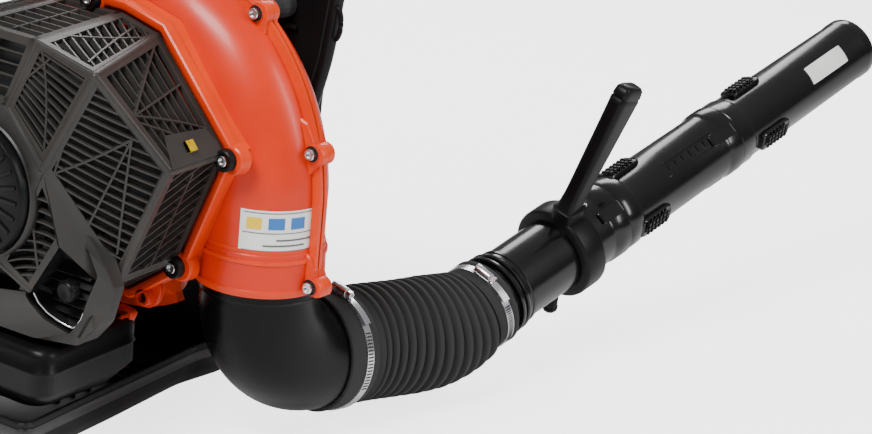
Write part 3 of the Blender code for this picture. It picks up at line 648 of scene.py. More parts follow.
COVER_RIM = [(35, 408), (79, 398), (164, 307), (116, 190), (60, 150)]
RIM_Y = -72.0


def mirrored(point: Sequence[float]) -> tuple[float, ...]:
    """The point on the other side of the machine's middle plane."""
    return (-point[0], *point[1:])


@dataclass(frozen=True)
class Facet:
    """One four-cornered grille of the guard.

    Args:
        corners: Four corners in millimetres, in order.
        slant: The slats' direction in the patch's own (u, v) coordinates.
        count: How many slats fill it.
        ribs: Cross ribs as pairs of (u, v) ends.
        border: Width of its frame in millimetres.
    """

    corners: tuple
    slant: tuple[float, float]
    count: int
    ribs: tuple = ()
    border: float = 7.5

    def at(self, u: float, v: float, side: int, lift: float = 0.0) -> Vector:
        """A point of the patch, raised along its normal."""
        a, b, c, d = (Vector((x * side, y, z)) for x, y, z in self.corners)
        point = (a * (1 - u) + b * u) * (1 - v) + (d * (1 - u) + c * u) * v
        if lift:
            point += self.normal(side) * lift
        return point * MM

    def normal(self, side: int) -> Vector:
        """The patch's mean outward normal."""
        a, b, c, d = (Vector((x * side, y, z)) for x, y, z in self.corners)
        normal = (c - a).cross(d - b).normalized()
        outward = (a + b + c + d) / 4 - Vector((0, -120, AXIS.z / MM))
        return normal if normal.dot(outward) > 0 else -normal

    def spans(self) -> tuple[float, float]:
        """Mean side lengths along u and v in millimetres."""
        a, b, c, d = (Vector(corner) for corner in self.corners)
        return ((b - a).length + (c - d).length) / 2, ((d - a).length + (c - b).length) / 2

    def clipped(self, start: tuple[float, float], step: tuple[float, float]):
        """The stretch of a (u, v) line that lies inside the frame, or None."""
        wide, tall = self.spans()
        margins = (self.border / wide, self.border / tall)
        low, high = -1e9, 1e9
        for origin, move, margin in zip(start, step, margins):
            if abs(move) < 1e-9:
                if not margin <= origin <= 1 - margin:
                    return None
                continue
            ends = sorted(((margin - origin) / move, (1 - margin - origin) / move))
            low, high = max(low, ends[0]), min(high, ends[1])
        if high - low < 0.03:
            return None
        return [(start[0] + step[0] * t, start[1] + step[1] * t) for t in (low, high)]

    def bar(self, start, stop, side: int, width: float, top: float, depth: float) -> bmesh.types.BMesh:
        """A bar on the patch between two (u, v) points."""
        normal = self.normal(side)
        loops = []
        steps = 6
        for step in range(steps + 1):
            share = step / steps
            u, v = (a + (b - a) * share for a, b in zip(start, stop))
            centre = self.at(u, v, side)
            ahead = self.at(u + (stop[0] - start[0]) * 0.01, v + (stop[1] - start[1]) * 0.01, side) - centre
            across = ahead.cross(normal).normalized() * width * MM / 2
            high, low = normal * top * MM, normal * (top - depth) * MM
            slim = across * 0.72
            loops.append([centre - across + low, centre - slim + high, centre + slim + high, centre + across + low])
        return skin(loops)

    def shapes(self, side: int) -> list[bmesh.types.BMesh]:
        """The frame, slats and cross ribs."""
        parts = []
        corners = ((0, 0), (1, 0), (1, 1), (0, 1))
        wide, tall = self.spans()
        for start, stop in zip(corners, corners[1:] + corners[:1]):
            shares = (min(0.5, self.border / wide), min(0.5, self.border / tall))
            parts.append(self.edge_strip(start, stop, side, *shares))
        length = math.hypot(*self.slant)
        move = (self.slant[0] / length, self.slant[1] / length)
        across = (-move[1], move[0])
        reach = abs(across[0]) + abs(across[1])
        first = min(0.0, across[0]) + min(0.0, across[1])
        for index in range(self.count):
            offset = first + reach * (index + 0.5) / self.count
            line = self.clipped((across[0] * offset, across[1] * offset), move)
            if line:
                parts.append(self.bar(*line, side, 2.4, -0.4, 5.5))
        parts += [self.bar(start, stop, side, 2.6, 0.1, 4.5) for start, stop in self.ribs]
        return parts

    def edge_strip(self, start, stop, side: int, du: float, dv: float) -> bmesh.types.BMesh:
        """One side of the frame: a flat strip with a rounded outer edge."""
        normal = self.normal(side)
        inward = (0.5 - (start[0] + stop[0]) / 2, 0.5 - (start[1] + stop[1]) / 2)
        shift = (math.copysign(du, inward[0]) if inward[0] else 0, math.copysign(dv, inward[1]) if inward[1] else 0)
        loops = []
        for share in (0, 0.25, 0.5, 0.75, 1):
            u, v = (a + (b - a) * share for a, b in zip(start, stop))
            outer = self.at(u, v, side)
            inner = self.at(u + shift[0], v + shift[1], side)
            loops.append([outer - normal * 4 * MM, outer, inner, inner - normal * 4.5 * MM])
        return skin(loops)


A_TOP, B_TOP, D_SIDE = (40, -190, 403), (108, -188, 388), (162, -143, 304)
P_LOW, Q_LOW = (109, -143, 184), (58, -150, 150)
HUB_TOP, HUB_SIDE, HUB_LOW = (30, -214, 345), (74, -213, 298), (28, -214, 196)
PANEL_SIDE, PANEL_LOW = (86, -192, 232), (54, -200, 173)
RIM = [(x, RIM_Y, z) for x, z in COVER_RIM]

FACETS = (
    Facet((RIM[0], RIM[1], B_TOP, A_TOP), (1, 0.28), 13, (((0.06, 0.75), (0.95, 0.1)), ((0.5, 0.08), (0.75, 0.9)))),
    Facet((RIM[1], RIM[2], D_SIDE, B_TOP), (1, 0), 9,
          (((0.04, 0.1), (0.45, 0.93)), ((0.45, 0.93), (0.4, 0.07)), ((0.45, 0.93), (0.78, 0.07)),
           ((0.52, 0.93), (0.78, 0.5)))),
    Facet((RIM[2], RIM[3], P_LOW, D_SIDE), (-0.32, -1), 13, (((0.1, 0.5), (0.95, 0.5)),)),
    Facet((B_TOP, D_SIDE, P_LOW, HUB_SIDE), (1, -0.527), 21,
          (((0.55, 0.12), (0.1, 0.93)), ((0.55, 0.12), (0.55, 0.94)), ((0.55, 0.12), (0.88, 0.86)),
           ((0.1, 0.93), (0.04, 0.6))), 8.5),
    Facet((A_TOP, B_TOP, HUB_SIDE, HUB_TOP), (1, 0), 13, (((0.12, 0.08), (0.92, 0.93)), ((0.3, 0.1), (0.05, 0.6)))),
    Facet((HUB_SIDE, PANEL_SIDE, PANEL_LOW, HUB_LOW), (1, -0.53), 13, (((0.1, 0.3), (0.95, 0.7)),), 8.0),
    Facet((RIM[3], RIM[4], Q_LOW, P_LOW), (0, 1), 7, (), 5.0),
)
HOOD_SIDE = (
    Facet((HUB_SIDE, P_LOW, (106, -154, 178), (84, -197, 224)), (1, 0), 1, (), 40.0),
    Facet((P_LOW, (108, -150, 150), (104, -186, 140), (106, -154, 178)), (1, 0), 1, (), 40.0),
)
PLAIN_SIDE = (Facet((PANEL_SIDE, P_LOW, Q_LOW, PANEL_LOW), (1, -0.4), 13, (((0.1, 0.3), (0.95, 0.7)),)),)


@dataclass(frozen=True)
class Guard:
    """The slatted guard over the engine."""

    make: Make = Make(COVER, slot="cover_plastic", smooth=28)

    def build(self) -> None:
        """Makes the facets, the beams on their ridges, the centre ring, a painted shade sheet behind the slats and
        the screws.
        """
        parts = []
        for side in (1, -1):
            for facet in FACETS + (HOOD_SIDE if side > 0 else PLAIN_SIDE):
                parts += facet.shapes(side)
            parts += self.ridges(side)
        parts += self.centre()
        self.make("engine_guard", joined(parts), "engine_cover")
        self.shade_sheet()
        self.fixings()

    def ridges(self, side: int) -> list[bmesh.types.BMesh]:
        """Rounded beams along the ridges between facets."""
        lines = ((A_TOP, B_TOP, 3.0), (B_TOP, D_SIDE, 4.6), (D_SIDE, P_LOW, 4.6), (P_LOW, Q_LOW, 3.6),
                 (B_TOP, HUB_SIDE, 4.0), (A_TOP, HUB_TOP, 3.4), (HUB_TOP, HUB_SIDE, 3.4), (HUB_SIDE, P_LOW, 3.4),
                 (B_TOP, RIM[1], 5.0), (D_SIDE, RIM[2], 6.0), (P_LOW, RIM[3], 4.0), (A_TOP, RIM[0], 3.2),
                 (HUB_SIDE, HUB_LOW, 4.4), (HUB_LOW, PANEL_LOW, 3.4), (RIM[0], RIM[1], 3.2), (RIM[1], RIM[2], 3.2),
                 (RIM[2], RIM[3], 3.2), (RIM[3], RIM[4], 3.2))
        parts = []
        for start, stop, radius in lines:
            a, b = (mm(x * side, y, z) for x, y, z in (start, stop))
            axis = (b - a).normalized()
            inward = (AXIS + mm(0, -120, 0) - (a + b) / 2).normalized() * radius * 0.92 * MM
            length = (b - a).length / MM
            parts.append(turned(a + inward, axis, [(-radius * 0.4, radius * 0.7), (0, radius), (length, radius),
                                                   (length + radius * 0.4, radius * 0.7)], 14))
        return parts

    def centre(self) -> list[bmesh.types.BMesh]:
        """The panels between the two sides, and the plate round the starter."""
        panels = ((RIM[0], A_TOP, (1, 0.0), 9, (((0.5, 0.1), (0.5, 0.9)),)), (A_TOP, HUB_TOP, (1, 0.0), 6, ()),
                  (HUB_LOW, Q_LOW, (0, 1), 11, ()), (RIM[4], Q_LOW, (1, 0), 9, ()))
        parts = []
        for first, last, slant, count, ribs in panels:
            facet = Facet((first, mirrored(first), mirrored(last), last), slant, count, ribs)
            parts += facet.shapes(1)
        parts.append(self.hub())
        return parts

    def hub(self) -> bmesh.types.BMesh:
        """The plate round the starter's opening, out to the facets' inner corners."""
        corners = [(x, z - AXIS.z / MM) for x, _, z in (HUB_TOP, HUB_SIDE, HUB_LOW)]
        corners += [(-x, z) for x, z in reversed(corners)]
        edges = list(zip(corners, corners[1:] + corners[:1]))
        loops = []
        for step in range(144):
            turn = 2 * math.pi * step / 144
            spoke = Vector((math.cos(turn), math.sin(turn)))
            reach = 67.0
            for (ax, az), (bx, bz) in edges:
                run = Vector((bx - ax, bz - az))
                cross = spoke.x * run.y - spoke.y * run.x
                if abs(cross) < 1e-9:
                    continue
                away = (ax * run.y - az * run.x) / cross
                share = (ax * spoke.y - az * spoke.x) / cross
                if away > 0 and -0.001 <= share <= 1.001:
                    reach = max(reach, away + 3)
            section = ((62.8, -200), (62.8, -215.4), (64.4, -216.6), (66, -215), (reach, -213), (reach, -208),
                       (66, -206))
            loops.append([AXIS + mm(spoke.x * r, y, spoke.y * r) for r, y in section])
        return skin(loops, closed=True)

    def shade_sheet(self) -> None:
        """Painted shade: a flat near-black sheet behind the guard that darkens the gaps between the slats."""
        rows = []
        middle = [(x, z) for x, _, z in (A_TOP, B_TOP, D_SIDE, P_LOW, Q_LOW)]
        rear = [(30, 345), (56, 330), (74, 298), (62, 222), (28, 196)]
        for row, deep in ((COVER_RIM, -74), (middle, -134), (rear, -196)):
            rows.append([Vector((x, deep, z)) * MM for x, z in ring_of(row, -15)])
        Make(PAINTED_SHADE, slot="cover_plastic")("guard_lining", skin(rows, caps=False))

    def fixings(self) -> None:
        """Screw bosses on the guard's rim, each with a recessed socket screw, and a tag plate."""
        for index, (x, z) in enumerate(((169, 302), (118, 186), (-169, 302), (-118, 186), (0, 414))):
            place = mm(x, -82, z)
            cup = [(0, 7.4), (0, 9.2), (1, 10.2), (8, 11), (8, 8), (4, 7.6), (4, 7.2), (0.5, 7.0)]
            Make(BLACK, slot="cover_plastic")(f"guard_boss_{index}", turned(place, Y, cup, 36, closed=True))
            screw(f"guard_screw_{index}", place + mm(0, 2.0, 0), -Y, 5.2)
            seat = [(0, 12), (1.4, 13.6), (12, 14.4)]
            Make(ORANGE, slot="orange")(f"guard_seat_{index}", turned(mm(x + 4 * (x > 0), -74.6, z), Y, seat, 40))
        web = Facet(((165.2, -72, 308), (147.2, -82, 328), (143.2, -134, 330), (163.2, -143, 305)), (1, 0), 1, (),
                    30.0)
        self.make("guard_corner_plate", joined(web.shapes(1)))
        tag = Facet(((153.2, -106, 324.2), (160.2, -106, 316.2), (160.2, -116, 316.2), (153.2, -116, 324.2)), (1, 0),
                    1, (), 6.0)
        Make(YELLOW, slot="cover_plastic")("guard_tag", joined(tag.shapes(1)))


def screw(name: str, place: Vector, out: Vector, radius: float, body: str = "machine") -> bpy.types.Object:
    """A socket head screw whose head stands on `place` and faces `out`."""
    head = [(-1, radius * 0.9), (2.6, radius), (3.2, radius * 0.92), (3.4, radius * 0.62), (3.2, radius * 0.55),
            (1.2, radius * 0.5), (1.0, 0.3)]
    return Make(SCREW, body, slot="steel")(name, turned(place, out, head, 24))


# ---------------------------------------------------------------- duct


def heading(turn: float, pitch: float) -> Vector:
    """A unit vector from degrees to the right of +Y and degrees above level."""
    a, b = math.radians(turn), math.radians(pitch)
    return Vector((math.sin(a) * math.cos(b), math.cos(a) * math.cos(b), math.sin(b)))


OUT = heading(8, -4)
PIPE = joint_axis("pipe_swivel")
PIPE_START = joint_place("pipe_swivel")
PIPE_SIDE, PIPE_UP = axes_of(PIPE)
ELBOW_TOP = mm(158, 0, 158.7)
ELBOW_BEND = 82 * MM
CUFF = 36 * MM


def elbow_at(degrees: float) -> tuple[Vector, Vector]:
    """Centre and direction on the elbow's curve, from straight down."""
    turn = math.radians(degrees)
    flat = heading(8, 0)
    centre = ELBOW_TOP + ELBOW_BEND * (flat * (1 - math.cos(turn)) - Z * math.sin(turn))
    return centre, flat * math.sin(turn) - Z * math.cos(turn)


ELBOW_END = elbow_at(86)[0] + OUT * 12 * MM


def hose_at(share: float) -> tuple[Vector, Vector]:
    """Centre and direction of the bellows at a share of its length."""
    start, end = ELBOW_END + OUT * CUFF, PIPE_START - PIPE * CUFF
    span = (end - start).length
    q, c = share * share, share ** 3
    centre = (start * (2 * c - 3 * q + 1) + OUT * span * (c - 2 * q + share) + end * (3 * q - 2 * c)
              + PIPE * span * (c - q))
    along = (start * (6 * q - 6 * share) + OUT * span * (3 * q - 4 * share + 1) + end * (6 * share - 6 * q)
             + PIPE * span * (3 * q - 2 * share))
    return centre, along.normalized()


def path_tube(stations: Iterable[tuple[Vector, Vector, float]], sides: int = 72, closed: bool = False):
    """A tube through (centre, direction, radius in millimetres) stations."""
    return skin([circle(centre, axis, radius * MM, sides) for centre, axis, radius in stations], closed=closed)


@dataclass(frozen=True)
class Duct:
    """Elbow, bellows and hose clamps."""

    ribs: int = 13
    large: float = 57.0
    small: float = 48.5
    depth: float = 6.4

    def build(self) -> None:
        """Makes every piece between the outlet collar and the swivel pipe."""
        self.elbow()
        self.bellows()
        self.clamp("clamp_large_band", ELBOW_END + OUT * 6 * MM, OUT, 59.4, "machine", "clamp_large", 8)
        self.clamp("clamp_small_band", PIPE_START - PIPE * 24 * MM, PIPE, 45.4, "bellows_end", "clamp_small", 20)

    def elbow(self) -> None:
        """The elbow, with its socket under the collar and a soft mould ridge round its mouth."""
        stations = [(ELBOW_TOP + Z * 12 * MM, -Z, 50.0), (ELBOW_TOP + Z * 12 * MM, -Z, 57.0),
                    (ELBOW_TOP + Z * 4 * MM, -Z, 57.4), (ELBOW_TOP + Z * 2 * MM, -Z, 55.2)]
        for step in range(33):
            degrees = 86 * step / 32
            stations.append((*elbow_at(degrees), 55.0 + 1.6 * math.sin(math.radians(degrees * 2))))
        end = elbow_at(86)[0]
        for away, radius in ((1, 55.4), (2, 57.2), (4.5, 57.4), (5.5, 55.2), (12, 54.8), (12, 50)):
            stations.append((end + OUT * away * MM, OUT, radius))
        inner = [(*elbow_at(86 * step / 16), 50.0) for step in range(16, -1, -1)]
        shape = path_tube(stations + inner, closed=True)
        Make(ELBOW, slot="charcoal_plastic", smooth=50)("elbow_duct", shape, "elbow")

    def bellows(self) -> None:
        """The ribbed hose: one continuous tube in two halves and a middle rib."""
        rear = [(ELBOW_END + OUT * at * MM, OUT, radius)
                for at, radius in ((-12, 55.6), (-12, 58.2), (-11, 59.0), (21, 59.0), (24, 58.4), (26, 57.0),
                                   (28, 54.6), (31, 54.6), (34, 57.4), (35, 57.8))]
        front = [(PIPE_START + PIPE * at * MM, PIPE, radius)
                 for at, radius in ((-36, 47.2), (-34.5, 44.2), (-31, 44.0), (-30, 45.0), (-13, 45.0), (-12, 46.6),
                                    (-8, 46.8), (-6.5, 45.6), (-5, 44.0), (-4, 42.0), (-4, 40.2))]
        hose = Make(BELLOWS, slot="bellows_rubber", smooth=60)
        parts = ((0.0, 0.478, rear, [], "bellows_rear_hose", "bellows_rear"),
                 (0.522, 1.0, [], front, "bellows_front_hose", "bellows_front"))
        for first, last, head, tail, name, node in parts:
            steps = 84
            stations = list(head)
            for step in range(steps + 1):
                share = first + (last - first) * step / steps
                stations.append((*hose_at(share), self.radius(share)))
            stations += tail
            inner = [(*hose_at(first + (last - first) * step / 20), self.bore(first + (last - first) * step / 20))
                     for step in range(20, -1, -1)]
            self.flexible(name, node, path_tube(stations + inner, 72, closed=True), hose, not head)
        ring = [(*hose_at(0.478 + 0.044 * step / 8), self.radius(0.478 + 0.044 * step / 8) + 0.15)
                for step in range(9)]
        ring += [(*hose_at(0.522), 47.5), (*hose_at(0.478), 47.5)]
        Make(BELLOWS, "bellows_mid", slot="bellows_rubber", smooth=60)("bellows_middle_rib",
                                                                       path_tube(ring, 72, closed=True),
                                                                       "bellows_ring")

    def radius(self, share: float) -> float:
        """Outer radius at a share of the length: rounded ribs that shrink towards the pipe."""
        taper = max(0.0, (share - 0.62) / 0.38)
        size = self.large + 1.0 - (self.large - self.small + 0.5) * taper ** 1.6
        wave = 0.5 - 0.5 * math.cos(2 * math.pi * share * self.ribs)
        return size - self.depth * (1 - min(1.0, wave * 1.25) ** 0.6)

    def bore(self, share: float) -> float:
        """Inner radius at a share of the length."""
        taper = max(0.0, (share - 0.62) / 0.38)
        return 48.0 - 8.0 * taper

    def flexible(self, name: str, node: str, shape: bmesh.types.BMesh, make: Make, lifted: bool):
        """A half of the hose, baked in place."""
        obj = make.shaped(name, shape)
        if lifted:
            tuple(hose_at(0.95)[0])
            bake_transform(obj)
        else:
            tuple(hose_at(0.02)[0])
            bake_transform(obj)
        make.booked(obj, node)

    def clamp(self, name: str, start: Vector, axis: Vector, radius: float, body: str, node: str, lean: float) -> None:
        """A worm-drive clamp: slotted band, screw housing, screw and free band tail."""
        level, lift = axes_of(axis)
        turn = math.radians(lean)
        up = lift * math.cos(turn) + level * math.sin(turn)
        side = axis.cross(up).normalized()
        band = [(0, radius), (0.2, radius + 1.0), (8.8, radius + 1.0), (9, radius), (9, radius - 0.6),
                (0, radius - 0.6)]
        parts = [turned(start, axis, band, 96, closed=True)]
        middle = start + axis * 4.5 * MM
        foot = middle + up * (radius + 4.6) * MM
        shell = [(-11, 3.0), (-10.4, 4.6), (-8, 5.0), (8, 5.0), (9, 4.6), (9.4, 3.6)]
        parts.append(turned(foot, side, shell, 20))
        parts.append(block(middle + up * (radius + 1.8) * MM, (side, axis, up), (20, 10.4, 2.4)))
        tail = []
        for step in range(9):
            swing = math.radians(10 + step * 4)
            spoke = up * math.cos(swing) + side * math.sin(swing)
            away = radius + 1.4 + step * 0.35
            tail.append([middle + spoke * away * MM + axis * s * MM + spoke * t * MM
                         for s, t in ((-4, 0), (4, 0), (4, 0.7), (-4, 0.7))])
        parts.append(skin(tail))
        Make(STEEL, body, slot="steel")(name, joined(parts), node)
        head = [(0, 2.6), (1, 3.8), (5, 3.8), (5.6, 3.2), (5.6, 1.8), (3.8, 1.6), (3.8, 0.2)]
        Make(SCREW, body, slot="steel")(name + "_screw", turned(foot + side * 9.4 * MM, side, head, 6))
        # The slots are flat near-black blocks on the band: painted shade in its holes.
        slots = [block(middle + (up * math.cos(t) + side * math.sin(t)) * (radius + 1.0) * MM,
                       (axis, up * -math.sin(t) + side * math.cos(t), up * math.cos(t) + side * math.sin(t)),
                       (6.4, 1.3, 0.5))
                 for t in (math.radians(50 + 3.2 * step) for step in range(18))]
        Make(PAINTED_SHADE, body, slot="steel")(name + "_slots", joined(slots))


# ---------------------------------------------------------------- blower tube


def pipe_out(degrees: float) -> Vector:
    """A unit vector square to the pipe, turned from its upper side."""
    turn = math.radians(degrees)
    return PIPE_UP * math.cos(turn) + PIPE_SIDE * math.sin(turn)


def squarish(power: float, sides: int, first: float = 0.0) -> Iterator[tuple[float, float]]:
    """Points of a unit circle that a power below 1 pushes towards a square, from `first` steps on."""
    for step in range(sides):
        turn = 2 * math.pi * (step + first) / sides
        pair = (math.cos(turn), math.sin(turn))
        yield tuple(math.copysign(abs(value) ** power, value) for value in pair)


@dataclass(frozen=True)
class Tube:
    """The three sections of the blower tube, with distances along it in millimetres."""

    joint_one: float = 178.0
    joint_two: float = 374.0
    end: float = 620.0

    def build(self) -> None:
        """Makes the pipes, their pads and lugs, the handle and the lock peg."""
        a, b = self.joint_one, self.joint_two
        swivel = [(-34, 37.4), (-34, 39.4), (2, 39.4), (3, 43.6), (5, 44.2), (7, 43.6), (8, 41.2), (10, 41.2),
                  (11, 43.4), (13, 43.9), (15, 43.2), (17, 40.8), (21, 40.6), (22, 41.6), (25, 41.6), (26, 39.6),
                  (60, 39.6), (a - 26, 39.4), (a - 22, 39.6), (a - 19, 41.6), (a - 6, 42.0), (a - 1.2, 42.0),
                  (a - 0.4, 41.2), (a - 0.4, 37.4)]
        middle = [(a - 24, 34.6), (a - 24, 36.2), (a, 36.2), (a, 40.4), (a + 1.0, 41.0), (a + 20, 41.0),
                  (a + 23, 39.6), (a + 26, 38.2), (a + 90, 37.9), (b - 24, 37.2), (b - 20, 38.2), (b - 17, 39.5),
                  (b - 1.4, 39.5), (b - 0.4, 38.8), (b - 0.4, 35.2), (a + 30, 35.2)]
        nozzle = [(b - 22, 32.6), (b - 22, 34.0), (b, 34.0), (b, 37.8), (b + 1.0, 38.5), (b + 19, 38.5),
                  (b + 22, 37.4), (b + 25, 36.6), (b + 120, 35.8), (self.end - 14, 34.8), (self.end - 12, 35.5),
                  (self.end - 2, 35.4), (self.end, 34.6), (self.end, 33.0), (self.end - 4, 32.6)]
        for name, body, node, profile in (("swivel_tube", "swivel", "swivel_pipe", swivel),
                                          ("middle_tube", "middle", "middle_pipe", middle),
                                          ("nozzle_tube", "nozzle_body", "nozzle", nozzle)):
            shape = turned(PIPE_START, PIPE, profile, 96, closed=True)
            Make(TUBE, body, slot="tube_plastic", smooth=32)(name, shape, node)
        self.fittings("middle_tube", "middle", a + 18, 38.0)
        self.fittings("nozzle_tube", "nozzle_body", b + 32, 36.5)
        self.lugs("swivel_tube", "swivel", a - 34, 39.6, 34)
        self.lugs("middle_tube", "middle", b - 44, 37.2, 40)
        self.panel()
        self.handle()

    def shell_patch(self, at: float, length: float, radius: float, degrees: float, width: float,
                    rise: float) -> bmesh.types.BMesh:
        """A raised patch that follows the pipe's wall, with rounded ends and sloping sides."""
        loops = []
        for lift, spread in ((0.0, 1.0), (0.75, 0.98), (1.0, 0.9)):
            rim = []
            for along, across in squarish(0.28, 44, 0.5):
                spoke = pipe_out(degrees + math.degrees(across * spread * width / 2 / radius))
                place = at + length / 2 + along * spread * length / 2
                rim.append(PIPE_START + PIPE * place * MM + spoke * (radius - 0.8 + (rise + 0.8) * lift) * MM)
            loops.append(rim)
        shape = skin(loops, caps=False)
        count = len(loops[0])
        top = list(shape.verts)[-count:]
        half = count // 2
        for index in range(half - 1):
            quad = (top[index], top[index + 1], top[(-index - 2) % count], top[(-index - 1) % count])
            if len(set(quad)) == 4:
                shape.faces.new(quad)
        return shape

    def fittings(self, name: str, body: str, at: float, radius: float) -> None:
        """Three ribbed thumb pads round a joint."""
        parts, ridges = [], []
        for degrees in (-14, 106, 226):
            parts.append(self.shell_patch(at, 48, radius, degrees, 23, 4.4))
            spoke = pipe_out(degrees)
            side = PIPE.cross(spoke)
            for row in range(6):
                for column in range(3):
                    centre = (PIPE_START + PIPE * (at + 9 + row * 6) * MM + spoke * (radius + 4.9) * MM
                              + side * (column - 1) * 5.6 * MM)
                    ridges.append(block(centre, (PIPE, side, spoke), (3.4, 4.2, 2.2)))
        Make(TUBE, body, slot="tube_plastic", smooth=40)(name + "_pads", joined(parts))
        Make(BLACK, body, bevel=0.5, slot="tube_plastic")(name + "_pad_grip", joined(ridges))

    def lugs(self, name: str, body: str, at: float, radius: float, length: float) -> None:
        """Plain raised lugs that back the bayonet slots."""
        parts = [self.shell_patch(at, length, radius, degrees, 15, 3.2) for degrees in (46, 166, 286)]
        Make(TUBE, body, slot="tube_plastic", smooth=40)(name + "_lugs", joined(parts))

    def panel(self) -> None:
        """The moulded relief panel on the middle pipe, plain bars in a frame, and the nozzle's blank decal."""
        bars = [self.shell_patch(self.joint_one + 84 + step * 12, 7, 37.9, 42, 9, 0.8) for step in range(6)]
        bars.append(self.shell_patch(self.joint_one + 78, 84, 37.9, 30, 2.2, 0.9))
        bars.append(self.shell_patch(self.joint_one + 78, 84, 37.9, 54, 2.2, 0.9))
        Make(TUBE, "middle", slot="tube_plastic", smooth=40)("middle_tube_panel", joined(bars))
        shapes = [self.shell_patch(508, 66, 35.75, 36 + 4.9 * row, 3.4, 0.14) for row in range(7)]
        Make(LABEL, "nozzle_body", slot="tube_plastic")("nozzle_decal", joined(shapes))

    def handle(self) -> None:
        """The clamp ring, the blade handle, its lock knob and the pipe's lock peg."""
        at, lean = 112.0, math.radians(28)
        out = pipe_out(18)
        side = PIPE.cross(out)
        ring = [(-15, 39.8), (-15, 47.6), (-13.4, 49.4), (-11, 50), (11, 50), (13.4, 49.4), (15, 47.6), (15, 39.8)]
        parts = [turned(PIPE_START + PIPE * at * MM, PIPE, ring, 80, closed=True)]
        for up, top, wide, long in ((out, 61, 14, 15), (-out, 60, 9, 10)):
            loops = []
            for height, scale in ((42, 1.04), (50, 1.02), (56, 1.0), (top - 1, 1.0), (top, 0.9)):
                foot = PIPE_START + PIPE * at * MM + up * height * MM
                loops.append([foot + PIPE * a * long * scale * MM + side * b * wide * scale * MM
                              for a, b in squarish(0.5, 32)])
            parts.append(skin(loops))
        Make(BLACK, "handle_mount", smooth=45)("handle_clamp", joined(parts), "handle_ring")
        base = PIPE_START + PIPE * at * MM + out * 60.3 * MM
        rise = out * math.cos(lean) + PIPE * math.sin(lean)
        fore = PIPE * math.cos(lean) - out * math.sin(lean)
        loops = []
        for height, wide, thick in ((0, 14, 11), (5, 12.4, 9.8), (14, 11.8, 9.2), (30, 12.4, 9.2), (80, 15, 9.6),
                                    (124, 17.2, 10), (129, 17.5, 10.2), (130, 16.7, 9.5), (132, 16.7, 9.5),
                                    (133, 17.3, 10.1), (141, 16.2, 9.2), (144, 13, 7)):
            loops.append([base + rise * height * MM + fore * a * wide * MM + side * b * thick * MM
                          for a, b in squarish(0.45, 40)])
        loops[0] = [point - out * (point - base).dot(out) for point in loops[0]]
        Make(BLACK, "handle_mount", smooth=50)("handle_blade", skin(loops), "handle_bar")
        low = PIPE_START + PIPE * at * MM - out * 60.3 * MM
        knob = [(0, 5), (1.6, 5), (2, 7), (3, 7.6), (24, 7.6), (25, 8.6), (28, 8.6), (30, 7.4), (31, 5.6)]
        Make(BLACK, "lock_knob")("handle_knob", turned(low, -out, knob, 10), "handle_lock_knob")
        catch = pipe_out(12)
        peg = PIPE_START + PIPE * (at + 30) * MM + catch * 39.8 * MM
        pin = [(0, 4.6), (1, 4.6), (1.2, 3.2), (3.4, 3.2), (4.2, 2.4)]
        Make(SCREW, "swivel", slot="steel")("tube_lock_peg", turned(peg, catch, pin, 24), "pipe_lock_peg")


# ---------------------------------------------------------------- powerhead details


def solid_box(node: str) -> tuple[Vector, Vector]:
    """The middle and the size in millimetres of a CAD node's box."""
    low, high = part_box(node)
    return (low + high) / 2, (high - low) / MM


def studs(place: Vector, axis: Vector, count: int, reach: float, rise: float,
          sizes: tuple[float, float, float]) -> list[bmesh.types.BMesh]:
    """A ring of small blocks round an axis, `reach` out from it and `rise` along it, in millimetres."""
    second = Z if axis is Y else Y
    parts = []
    for step in range(count):
        turn = 2 * math.pi * step / count
        spoke = X * math.cos(turn) + second * math.sin(turn)
        parts.append(block(place + spoke * reach * MM + axis * rise * MM, (spoke, axis, spoke.cross(axis)), sizes))
    return parts


def rounded(points: Sequence[tuple[float, float]], radius: float, steps: int = 4) -> list[tuple[float, float]]:
    """A closed 2-D outline with its corners rounded."""
    result = []
    count = len(points)
    for index, point in enumerate(points):
        corner = Vector(point)
        before = Vector(points[index - 1]) - corner
        after = Vector(points[(index + 1) % count]) - corner
        reach = min(radius, before.length * 0.45, after.length * 0.45)
        first, last = corner + before.normalized() * reach, corner + after.normalized() * reach
        for step in range(steps + 1):
            share = step / steps
            spot = first * (1 - share) ** 2 + corner * 2 * share * (1 - share) + last * share ** 2
            result.append((spot.x, spot.y))
    return result


def slab_y(outline: Sequence[tuple[float, float]], y0: float, y1: float, edge: float = 1.5) -> bmesh.types.BMesh:
    """A plate square to Y from an (x, z) outline in millimetres, with rounded rims."""
    centre = sum((Vector(point) for point in outline), Vector((0, 0))) / len(outline)
    loops = []
    for y, inset in ((y0, edge), (y0 + edge * 0.3, edge * 0.3), (y0 + edge, 0), (y1 - edge, 0),
                     (y1 - edge * 0.3, edge * 0.3), (y1, edge)):
        loop = []
        for point in outline:
            away = centre - Vector(point)
            spot = Vector(point) + away.normalized() * inset
            loop.append(mm(spot.x, y, spot.y))
        loops.append(loop)
    return skin(loops)


